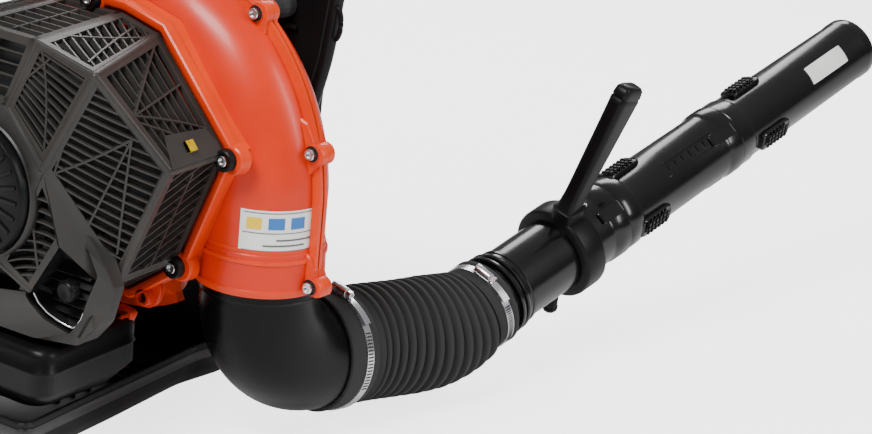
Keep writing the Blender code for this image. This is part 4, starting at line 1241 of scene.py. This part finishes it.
def starter() -> None:
    """The recoil starter inside the guard's round opening, with its handle and rope."""
    centre = AXIS + mm(0, -226, 0)
    shell = [(44, 62), (3, 62), (0.6, 61), (0, 59.5), (0, 33), (1, 30.5), (4, 30), (4, 20), (1, 18), (0, 15),
             (-0.4, 1)]
    back = [(44, 57), (6, 57), (6, 1)]
    parts = [turned(centre, Y, shell + back, 72)] + studs(centre, Y, 24, 46, -0.7, (22, 2.4, 3.2))
    Make(BLACK, bevel=0.35)("starter_shell", joined(parts), "starter_housing")
    middle, size = solid_box("starter_grip")
    loops = []
    for z, scale in ((-0.5, 0.5), (-0.47, 0.8), (-0.38, 1.0), (-0.2, 0.86), (0, 0.82), (0.2, 0.86), (0.38, 1.0),
                     (0.47, 0.8), (0.5, 0.5)):
        loops.append([middle + mm(size.x / 2 * scale * math.cos(t), size.y / 2 * scale * math.sin(t), size.z * z)
                      for t in (2 * math.pi * step / 28 for step in range(28))])
    Make(BLACK, "starter_pull", slot="soft_grip")("starter_handle", skin(loops), "starter_grip")
    low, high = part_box("starter_rope")
    middle, length = (low + high) / 2, (high - low).y / MM
    strands = []
    for strand in range(3):
        loops = []
        for step in range(40):
            share = step / 39
            turn = 2 * math.pi * (share * 5 + strand / 3)
            heart = Vector((middle.x, low.y + length * MM * share, middle.z)) + mm(0.75 * math.cos(turn), 0,
                                                                                  0.75 * math.sin(turn))
            loops.append(circle(heart, Y, 0.9 * MM, 10))
        strands.append(skin(loops))
    Make(FABRIC, "starter_pull", slot="rope", smooth=60)("starter_cord", joined(strands), "starter_rope")


def exhaust() -> None:
    """The exhaust hood in its recess, its louvres, wire rim, clip and knob; the opening's inside and the louvres are
    painted shade.
    """
    outer = rounded([(-46, 152), (-42, 134), (4, 126), (54, 126), (92, 126), (112, 150), (122, 186), (112, 206),
                     (96, 232), (72, 232), (60, 222), (42, 190), (30, 162)], 4)
    inner = rounded([(41, 166), (49, 157), (60, 146), (84, 136), (94, 152), (99, 172), (107, 196), (97, 220),
                     (80, 224), (64, 212), (54, 188), (50, 184), (44, 172)], 3)
    deep = [(76 + (x - 76) * 0.95, 178 + (z - 178) * 0.95) for x, z in inner]

    def leaned(outline, front: float) -> list[Vector]:
        return [mm(x, front + max(0.0, x - 46) * 0.36, z) for x, z in outline]

    loops = [[mm(x, -150, z) for x, z in outer], leaned(outer, -188), leaned(outer, -190.6), leaned(inner, -192),
             leaned(inner, -186), [mm(x, -157, z) for x, z in inner]]
    Make(COVER, slot="charcoal_plastic")("exhaust_hood", skin(loops), "exhaust_shroud")
    # Painted shade: a near-black sheet round the inside of the opening and near-black louvres darken the hood's
    # recess.
    shade_sheet = [leaned(deep, -186), [mm(x, -158, z) for x, z in deep]]
    Make(PAINTED_SHADE, slot="charcoal_plastic")("exhaust_lining", skin(shade_sheet, caps=False))
    row = Row(Make(PAINTED_SHADE, slot="charcoal_plastic"))
    row("exhaust_louvres", block(mm(72.5, -164, 144), (X, Vector((0, 0.8, 0.6)),
                                                     Vector((0, -0.6, 0.8))), (51, 12, 1.8)), 6, mm(0, 0, 9.6))
    rim = leaned([(47, 168), (52, 159), (60, 151.4), (70, 145.6), (80, 141.6), (84, 141), (87, 143), (91, 150.4),
                  (93, 157)], -187)
    Make(SCREW, slot="steel")("exhaust_rim_wire", wire(rim, 1.1, False))
    hook = [mm(70 + 8 * math.cos(t), -188 - 3 * math.sin(t), 221 + 9 * math.sin(t))
            for t in (math.radians(20 + 12 * step) for step in range(21))]
    Make(BLACK, slot="charcoal_plastic", smooth=60)("exhaust_hook", wire(hook, 2.4, False))
    place = mm(82, -174, 178)
    knob = [(-17.5, 4), (0, 4), (0, 9.4), (1, 10), (9, 10), (11, 9), (12, 7.4), (11.4, 4), (10.6, 0.5)]
    parts = [turned(place, -Y, knob, 40)] + studs(place, Y, 12, 9.6, -5, (1.6, 8, 1.8))
    Make(BLACK)("exhaust_hand_knob", joined(parts), "exhaust_knob")


def wire(points: Sequence[Vector], radius: float, closed: bool) -> bmesh.types.BMesh:
    """A round wire through points."""
    loops = []
    count = len(points)
    for index, point in enumerate(points):
        before = points[index - 1] if index or closed else point
        after = points[(index + 1) % count] if index + 1 < count or closed else point
        loops.append(circle(point, (after - before).normalized(), radius * MM, 12))
    return skin(loops, closed=closed)


def base_outline(spread: float, radius: float = 14.0) -> list[tuple[float, float]]:
    """The base tray's rounded (x, y) outline, spread outwards in millimetres."""
    right = [(26, 130), (20, 60), (32, -50), (44, -188)]
    left = [(-112, -188), (-126, -60), (-116, 130)]
    return rounded([(x + spread * math.copysign(1, x), y + spread * math.copysign(1, y)) for x, y in right + left],
                   radius, 5)


def base() -> None:
    """The base tray with its rolled rim, a lighter grey band on its chamfer as painted sheen, and floor ribs."""
    steps = ((0, -2), (1.2, 0), (14, 7), (24, 10), (26, 10.6), (38, 12.6), (43.6, 14.4), (45.2, 13.6), (45.2, 11),
             (42, 10), (14, 3.4), (6.4, -1), (5, -3))
    loops = [[mm(x, y, z) for x, y in base_outline(spread)] for z, spread in steps]
    Make(BLACK, smooth=45)("base_shell", skin(loops), "base_tray")
    # Painted sheen: the band is lighter grey than the tray where its chamfer catches the light.
    band = [[mm(x, y, z) for x, y in base_outline(spread)] for z, spread in
            ((26, 10.9), (26.6, 11.6), (37.4, 13.3), (38, 12.9))]
    Make(THREAD_GREY_AND_SHEEN, smooth=60)("base_band", skin(band, caps=False))
    for index, (x, y) in enumerate(((-62, -20), (-30, 60))):
        bar = block(mm(x, y, 8), XYZ, (76, 3, 6))
        Row(Make(BLACK))(f"base_ribs_{index}", bar, 3, mm(0, -22, 0))


def tank() -> None:
    """The blow-moulded fuel tank with its parting line, and the ribbed cap."""
    low = [(44, -172), (44, -66), (-96, -66), (-96, -172)]
    high = [(74, -198), (66, -54), (-104, -54), (-104, -198)]
    middle = Vector((-20, -126))
    loops = []
    for share, z, scale in ((0, 47, 0.93), (0.04, 48.2, 0.98), (0.16, 51, 1), (1, 74, 1), (1, 93, 1), (1, 94, 1.012),
                            (1, 96, 1.012), (1, 97, 1), (1, 110, 1), (1, 115.6, 0.975), (1, 118, 0.93)):
        corners = [Vector(a) * (1 - share) + Vector(b) * share for a, b in zip(low, high)]
        ring = rounded([tuple(middle + (corner - middle) * scale) for corner in corners], 22, 6)
        loops.append([mm(x, y, z) for x, y in ring])
    Make(BLACK, slot="tank_plastic", smooth=60)("tank_shell", skin(loops), "fuel_tank")
    place = mm(-78, -150, 118.3)
    cap = [(0, 20), (0, 24), (1, 24.4), (12, 24), (14.6, 22.6), (16, 19), (16.2, 8), (15.4, 0.5)]
    parts = [turned(place, Z, cap, 60)] + studs(place, Z, 20, 23.8, 6.5, (2, 10.6, 2.6))
    parts.append(turned(mm(-78, -150, 100), Z, [(0, 13.5), (18.4, 13.5)], 40))
    Make(BLACK, "cap")("tank_cap", joined(parts), "fuel_cap")


def brackets() -> None:
    """The orange feet under the guard: an ear with its screw eye and two gusseted tongues."""
    ear = rounded([(62, 150), (64, 134), (78, 130), (92, 138), (96, 156), (84, 164)], 8)
    tongue = rounded([(0, 82), (24, 74), (58, 104), (66, 124), (44, 126), (8, 108)], 6)
    foot = rounded([(-76, 84), (-30, 84), (-24, 132), (-70, 140)], 7)
    parts = [slab_y(ear, -66, -60), slab_y(tongue, -70, -60), slab_y(foot, -68, -60)]
    for x, z, lean in ((34, 98, 0.75), (52, 112, 0.75), (16, 88, 0.75)):
        along = Vector((math.cos(lean), 0, math.sin(lean)))
        parts.append(block(mm(x, -74, z), (along, Y, along.cross(Y)), (26, 12, 3)))
    eye = [(-1, 5.2), (-1, 9), (7, 9), (8, 8.2), (8, 5.2)]
    parts.append(turned(mm(79, -66, 144), -Y, eye, 32, closed=True))
    Make(ORANGE, slot="orange", bevel=0.6)("volute_feet", joined(parts))
    # Painted shade: a near-black disc at the bottom of the screw eye.
    Make(PAINTED_SHADE, slot="orange")("volute_foot_eye", turned(mm(79, -66.4, 144), -Y, [(0, 5.2), (2, 5.2)], 24))


def frame_details() -> None:
    """Ribs, rolled edge, screws and the cable hook on the back frame."""
    outline = [(60, 484), (112, 470), (139, 448), (128, 356), (104, 262), (66, 186), (46, 136), (30, 80), (18, 9),
               (-104, 9), (-116, 186), (-124, 262), (-134, 356), (-142, 448), (-112, 470), (-60, 484)]
    rim = [mm(x, 117, z) for x, z in rounded(outline, 18, 6)]
    Make(BLACK, smooth=60)("frame_rolled_edge", wire(rim, 8.2, True))
    ribs = []
    for x0, z0, x1, z1 in ((-90, 420, -74, 330), (90, 420, 74, 330), (-84, 120, -60, 196), (34, 130, 58, 190),
                           (-100, 380, 100, 380), (-88, 150, 36, 150)):
        a, b = mm(x0, 105.6, z0), mm(x1, 105.6, z1)
        along = (b - a).normalized()
        ribs.append(block((a + b) / 2, (along, Y, along.cross(Y)), ((b - a).length / MM, 4.6, 4)))
    Make(BLACK, bevel=0.6)("frame_ribs", joined(ribs))
    for index, (x, z) in enumerate(((104, 440), (-108, 440), (86, 300), (-100, 300), (-92, 120), (24, 110))):
        screw(f"frame_screw_{index}", mm(x, 107.6, z), -Y, 5.0)
    hook = [mm(140 + 7 * math.sin(t), 112, 392 + 16 * math.cos(t)) for t in
            (math.radians(10 + 16 * step) for step in range(11))]
    Make(BLACK, smooth=60)("frame_cable_hook", wire(hook, 2.6, False))
    arm = [(44, 136), (66, 186), (80, 172), (60, 120), (44, 70), (30, 62), (30, 96)]
    Make(BLACK, smooth=40)("frame_side_arm", slab_y(rounded(arm, 6), 92, 107, 3))


# ---------------------------------------------------------------- harness


@dataclass(frozen=True)
class Cushion:
    """A crowned pad whose back lies flat, made from a width profile along its height.

    Args:
        name: Its name.
        node: The CAD node it stands for.
        spine: (z, y, centre x, half width) stations in millimetres, from one end to the other.
        thick: Thickness at the crown in millimetres.
        channels: Sewn channels as shares of its length.
    """

    name: str
    node: str
    spine: tuple
    thick: float
    channels: tuple = ()

    def station(self, share: float) -> tuple[float, float, float, float]:
        """The spine's values at a share of its length."""
        place = share * (len(self.spine) - 1)
        index = min(int(place), len(self.spine) - 2)
        part = place - index
        ease = part * part * (3 - 2 * part)
        return tuple(a + (b - a) * ease for a, b in zip(self.spine[index], self.spine[index + 1]))

    def height(self, u: float, share: float) -> float:
        """Crown height in millimetres at -1..1 across and 0..1 along."""
        crown = (1 - abs(u) ** 3.2) ** 0.5 * (1 - abs(2 * share - 1) ** 9) ** 0.5
        dip = 1.0
        for channel in self.channels:
            dip -= 0.34 * math.exp(-((share - channel) / 0.012) ** 2) * (1 - abs(u) ** 6)
        dip -= 0.18 * math.exp(-((abs(u) - 0.72) / 0.045) ** 2)
        return self.thick * max(0.0, crown) * dip

    def build(self) -> None:
        """Makes the pad, its piping and its stitches."""
        loops, rim_left, rim_right = [], [], []
        across, along = 36, 110
        for step in range(along + 1):
            share = step / along
            z, y, x, half = self.station(share)
            pinch = 1 - 0.05 * math.sin(math.pi * share) ** 2
            front, back = [], []
            for column in range(across + 1):
                u = -1 + 2 * column / across
                front.append(mm(x + u * half * pinch, y + 3 + self.height(u, share) * 0.9, z))
                back.append(mm(x + u * half * pinch, y + 0.4 * (1 - u * u), z))
            loops.append(front + list(reversed(back)))
            rim_left.append(front[0] - Y * 1.4 * MM)
            rim_right.append(front[-1] - Y * 1.4 * MM)
        cover = Make(MESH_FABRIC, slot="pad_fabric", smooth=70)(self.name, skin(loops), self.node)
        ends = [rim_left[0] * (1 - s / 12) + rim_right[0] * (s / 12) for s in range(1, 12)]
        tops = [rim_right[-1] * (1 - s / 12) + rim_left[-1] * (s / 12) for s in range(1, 12)]
        seam = list(reversed(rim_left)) + ends + rim_right + tops
        Make(PIPING, slot="pad_fabric", smooth=60)(self.name + "_piping", wire(seam, 1.6, True))
        stitches = []
        for edge in (-0.72, 0.72):
            for step in range(6, 104):
                share = (step + 0.5) / along
                z, y, x, half = self.station(share)
                after = self.station(share + 0.004)
                place = mm(x + edge * half * 0.97, y + 3.2 + self.height(edge, share) * 0.9, z)
                along_it = (mm(after[2], after[1], after[0]) - mm(x, y, z)).normalized()
                out = along_it.cross(X).normalized()
                stitches.append(block(place, (along_it, X, out), (1.5, 0.6, 0.5)))
        Make(THREAD_GREY_AND_SHEEN, slot="pad_fabric")(self.name + "_stitches", joined(stitches))


def harness() -> None:
    """The back pad, the shoulder pads and their webbing anchors."""
    pad = ((190.5, 126.4, 0, 72), (204, 126.4, 0, 88), (240, 126.4, 0, 92), (300, 126.4, 0, 92),
           (360, 126.4, 0, 93), (400, 126.4, 0, 94), (424, 126.4, 0, 90), (430, 126.4, 0, 80))
    Cushion("back_cushion", "back_pad", pad, 20, (0.26, 0.5, 0.74)).build()
    for side, name in ((-1, "left"), (1, "right")):
        path = ((452, 149.2, side * 60, 22), (446, 155, side * 60, 26), (430, 163, side * 60, 26),
                (380, 171.4, side * 60, 26), (300, 173.4, side * 60, 26), (220, 169.4, side * 60, 25),
                (190, 162, side * 60, 24), (181, 159.6, side * 60, 18))
        Cushion(f"shoulder_pad_{name}", f"shoulder_strap_{name}", path, 10, (0.2, 0.4, 0.6, 0.8)).build()
        middle, size = solid_box(f"strap_anchor_{name}")
        parts = [block(middle + Z * (size.z / 2 - 2.5) * MM, XYZ, (size.x, size.y, 5)),
                 block(middle - Z * (size.z / 2 - 2.5) * MM, XYZ, (size.x, size.y, 5)),
                 block(middle, XYZ, (size.x - 8, size.y - 6, size.z - 4))]
        parts += [block(middle + X * s * (size.x / 2 - 2) * MM, XYZ, (4, size.y, size.z))
                  for s in (-1, 1)]
        Make(BLACK, bevel=1.0)(f"strap_buckle_{name}", joined(parts), f"strap_anchor_{name}")


# ---------------------------------------------------------------- controls


def controls() -> None:
    """The throttle grip, the switch, and the engine's own controls."""
    middle, size = solid_box("air_cleaner")
    parts = [block(middle, XYZ, tuple(size))]
    parts += [block(middle + mm(-size.x / 2 + 10 + 8 * i, -size.y / 2 - 0.2, 0), XYZ, (3, 2, size.z - 20))
              for i in range(7)]
    Make(BLACK, bevel=3.0, segments=3)("air_cleaner_case", joined(parts), "air_cleaner")
    place = mm(-80, -120.3, 302)
    parts = [turned(place, -Y, [(0, 10), (1, 11), (8, 11), (11, 9), (12, 6), (12, 0.4)], 40)]
    parts += studs(place, Y, 10, 10.6, -5, (1.6, 7, 2))
    Make(BLACK, "filter_knob")("air_cleaner_knob_cap", joined(parts), "air_cleaner_knob")
    dome = [(0, 8.2), (0, 9.2), (1, 9.4), (1.4, 8.4), (4, 8.6), (7, 7.2), (9, 4.6), (10, 1.6), (10.1, 0.2)]
    Make(BULB, "purge", slot="bulb", smooth=60)("purge_dome", turned(mm(-80, -120.3, 250), -Y, dome, 40),
                                               "purge_bulb")
    middle, size = solid_box("choke_lever")
    parts = [block(middle, XYZ, tuple(size)),
             block(middle - X * (size.x / 2 - 3) * MM, XYZ, (6, size.y + 3, size.z + 3))]
    Make(BLACK, "choke", bevel=1.0)("choke_tab", joined(parts), "choke_lever")
    middle, size = solid_box("stop_switch")
    parts = [block(middle, XYZ, tuple(size))]
    parts += [block(middle + mm(0, -4 + 2 * i, size.z / 2), XYZ, (size.x - 1.6, 0.9, 0.8)) for i in range(5)]
    Make(RED, "stop_button", bevel=0.8, slot="red_plastic")("stop_rocker", joined(parts), "stop_switch")
    middle, size = solid_box("throttle_grip")
    loops = []
    for y, z, tall, wide in ((232.6, 256, 15, 11), (234, 256, 16, 12.6), (250, 257.4, 14.4, 12), (262, 259, 11, 12),
                             (276, 260.5, 10.5, 12.2), (290, 262, 11, 12.4), (304, 263.6, 12.4, 12.6),
                             (316, 264, 10.6, 11.6), (321, 264, 6.4, 8)):
        loops.append([mm(middle.x / MM + wide * a, y, z + tall * b) for a, b in squarish(0.7, 32)])
    Make(BLACK, "hip_arm", slot="soft_grip", smooth=50)("throttle_handle", skin(loops), "throttle_grip")


# ---------------------------------------------------------------- carried-over CAD nodes


CARRIED = {
    "throttle_bracket": BLACK, "throttle_arm": BLACK, "throttle_trigger": BLACK, "back_frame": BLACK,
    "intake_guard": BLACK, "isolator_upper_left": BELLOWS, "isolator_upper_right": BELLOWS,
    "isolator_lower_left": BELLOWS, "impeller": BLACK, "starter_reel": BLACK, "crankshaft": STEEL,
    "flywheel_nut": SCREW, "flywheel": ALLOY, "crankcase": ALLOY, "cylinder": ALLOY, "piston": ALLOY,
    "carburettor": ALLOY, "muffler": HOT_STEEL, "intake_manifold": BLACK, "ignition_coil": BLACK,
    "spark_plug_boot": BELLOWS,
}


def carried_over() -> None:
    """Gives every CAD node that stays in view its finish."""
    for node, finish in CARRIED.items():
        obj = frame["nodes"][node]
        for slot in obj.material_slots:
            slot.material = finish.build()


def seam_screws() -> None:
    """Socket screws in every boss on the volute's seam, each ringed with painted shade."""
    housing = Volute()
    nodes = ("seam_screw_lower", "seam_screw_middle", "seam_screw_upper")
    for index, place in enumerate(housing.bosses()):
        head = [(9.6, 4.6), (11, 5.4), (14.6, 5.4), (15.4, 4.8), (15.4, 3.2), (13, 2.9), (12.8, 0.3)]
        stands_for = nodes[index:index + 1]
        Make(SCREW, slot="steel")(f"seam_socket_screw_{index}", turned(place, -Y, head, 28), *stands_for)
        # Painted shade: a near-black sleeve round each screw head darkens the boss's bore.
        Make(PAINTED_SHADE, slot="orange")(f"seam_screw_ring_{index}",
                                  turned(place, -Y, [(10.9, 5.6), (11.1, 7.4), (11.0, 7.6), (10.8, 5.6)], 32,
                                         closed=True))


# ---------------------------------------------------------------- studio


def studio() -> None:
    """A pale floor, soft lights and a bright surround."""
    bpy.ops.mesh.primitive_plane_add(size=12, location=(0.3, 0.3, 0))
    floor = bpy.context.object
    floor.name = "studio_floor"
    graph = Graph("studio_floor_finish")
    tint = graph.mix(graph.noise(3.0), (0.9, 0.9, 0.9), (0.94, 0.94, 0.94))
    glow = graph.mix(graph.node("LightPath", "Is Camera Ray"), (0.05, 0.05, 0.05), (1.0, 1.0, 1.0))
    floor.data.materials.append(graph.finish(Base_Color=tint, Roughness=0.9, Emission_Color=glow,
                                             Emission_Strength=2.6))
    world = bpy.data.worlds.new("studio_world")
    world.use_nodes = True
    tree = world.node_tree
    shade = tree.nodes["Background"]
    place = tree.nodes.new("ShaderNodeTexCoord")
    split = tree.nodes.new("ShaderNodeSeparateXYZ")
    ramp = tree.nodes.new("ShaderNodeMapRange")
    for name, value in (("From Min", -0.1), ("From Max", 0.9), ("To Min", 0.08), ("To Max", 0.5)):
        ramp.inputs[name].default_value = value
    tree.links.new(place.outputs["Generated"], split.inputs[0])
    tree.links.new(split.outputs["Z"], ramp.inputs["Value"])
    tree.links.new(ramp.outputs[0], shade.inputs["Strength"])
    shade.inputs["Color"].default_value = (1.0, 1.0, 1.0, 1)
    seen = tree.nodes.new("ShaderNodeLightPath")
    pale = tree.nodes.new("ShaderNodeBackground")
    pale.inputs["Strength"].default_value = 1.4
    mixed = tree.nodes.new("ShaderNodeMixShader")
    for source, target in ((seen.outputs["Is Camera Ray"], 0), (shade.outputs[0], 1), (pale.outputs[0], 2)):
        tree.links.new(source, mixed.inputs[target])
    tree.links.new(mixed.outputs[0], tree.nodes["World Output"].inputs["Surface"])
    bpy.context.scene.world = world
    lights = (("key", (0.2, -1.6, 2.3), 78, (1.2, 0.6)), ("side", (2.3, 0.6, 1.5), 30, (0.35, 1.6)),
              ("rear", (-0.9, 1.9, 1.6), 26, (1.2, 0.8)))
    target = Vector((0.18, 0.1, 0.25))
    for name, place, power, size in lights:
        data = bpy.data.lights.new(name, "AREA")
        data.shape = "RECTANGLE"
        data.energy = power
        data.size, data.size_y = size
        lamp = bpy.data.objects.new(name, data)
        lamp.location = place
        lamp.rotation_euler = (Vector(place) - target).to_track_quat("Z", "Y").to_euler()
        bpy.context.scene.collection.objects.link(lamp)


VIEW_DEGREES = (33.5, 18.5, 5.5)  # azimuth, elevation and roll
VIEW_CENTRE = Vector((0.2776, 0.1075, 0.2366))
VIEW_AWAY = 2.6
VIEW_LENS = 114.85


def camera() -> None:
    """The view from behind and to the right of the machine."""
    azimuth, elevation, roll = (math.radians(value) for value in VIEW_DEGREES)
    level = Vector((math.cos(azimuth), math.sin(azimuth), 0))
    raised = Vector((-math.sin(azimuth) * math.sin(elevation), math.cos(azimuth) * math.sin(elevation),
                     math.cos(elevation)))
    back = level.cross(raised)
    right = level * math.cos(roll) + raised * math.sin(roll)
    up = raised * math.cos(roll) - level * math.sin(roll)
    data = bpy.data.cameras.new("view")
    data.sensor_width = 36
    data.lens = VIEW_LENS
    data.clip_end = 50
    eye = bpy.data.objects.new("view", data)
    turn = Matrix((right, up, back)).transposed()
    eye.matrix_world = Matrix.Translation(VIEW_CENTRE + back * VIEW_AWAY) @ turn.to_4x4()
    bpy.context.scene.collection.objects.link(eye)
    bpy.context.scene.camera = eye


def main() -> None:
    """Builds the visual, the studio and the camera."""
    logging.basicConfig(level=logging.INFO)
    camera()
    studio()
    Volute().build()
    seam_screws()
    Guard().build()
    Duct().build()
    Tube().build()
    starter()
    exhaust()
    base()
    tank()
    brackets()
    frame_details()
    harness()
    controls()
    carried_over()


if __name__ == "__main__":
    main()
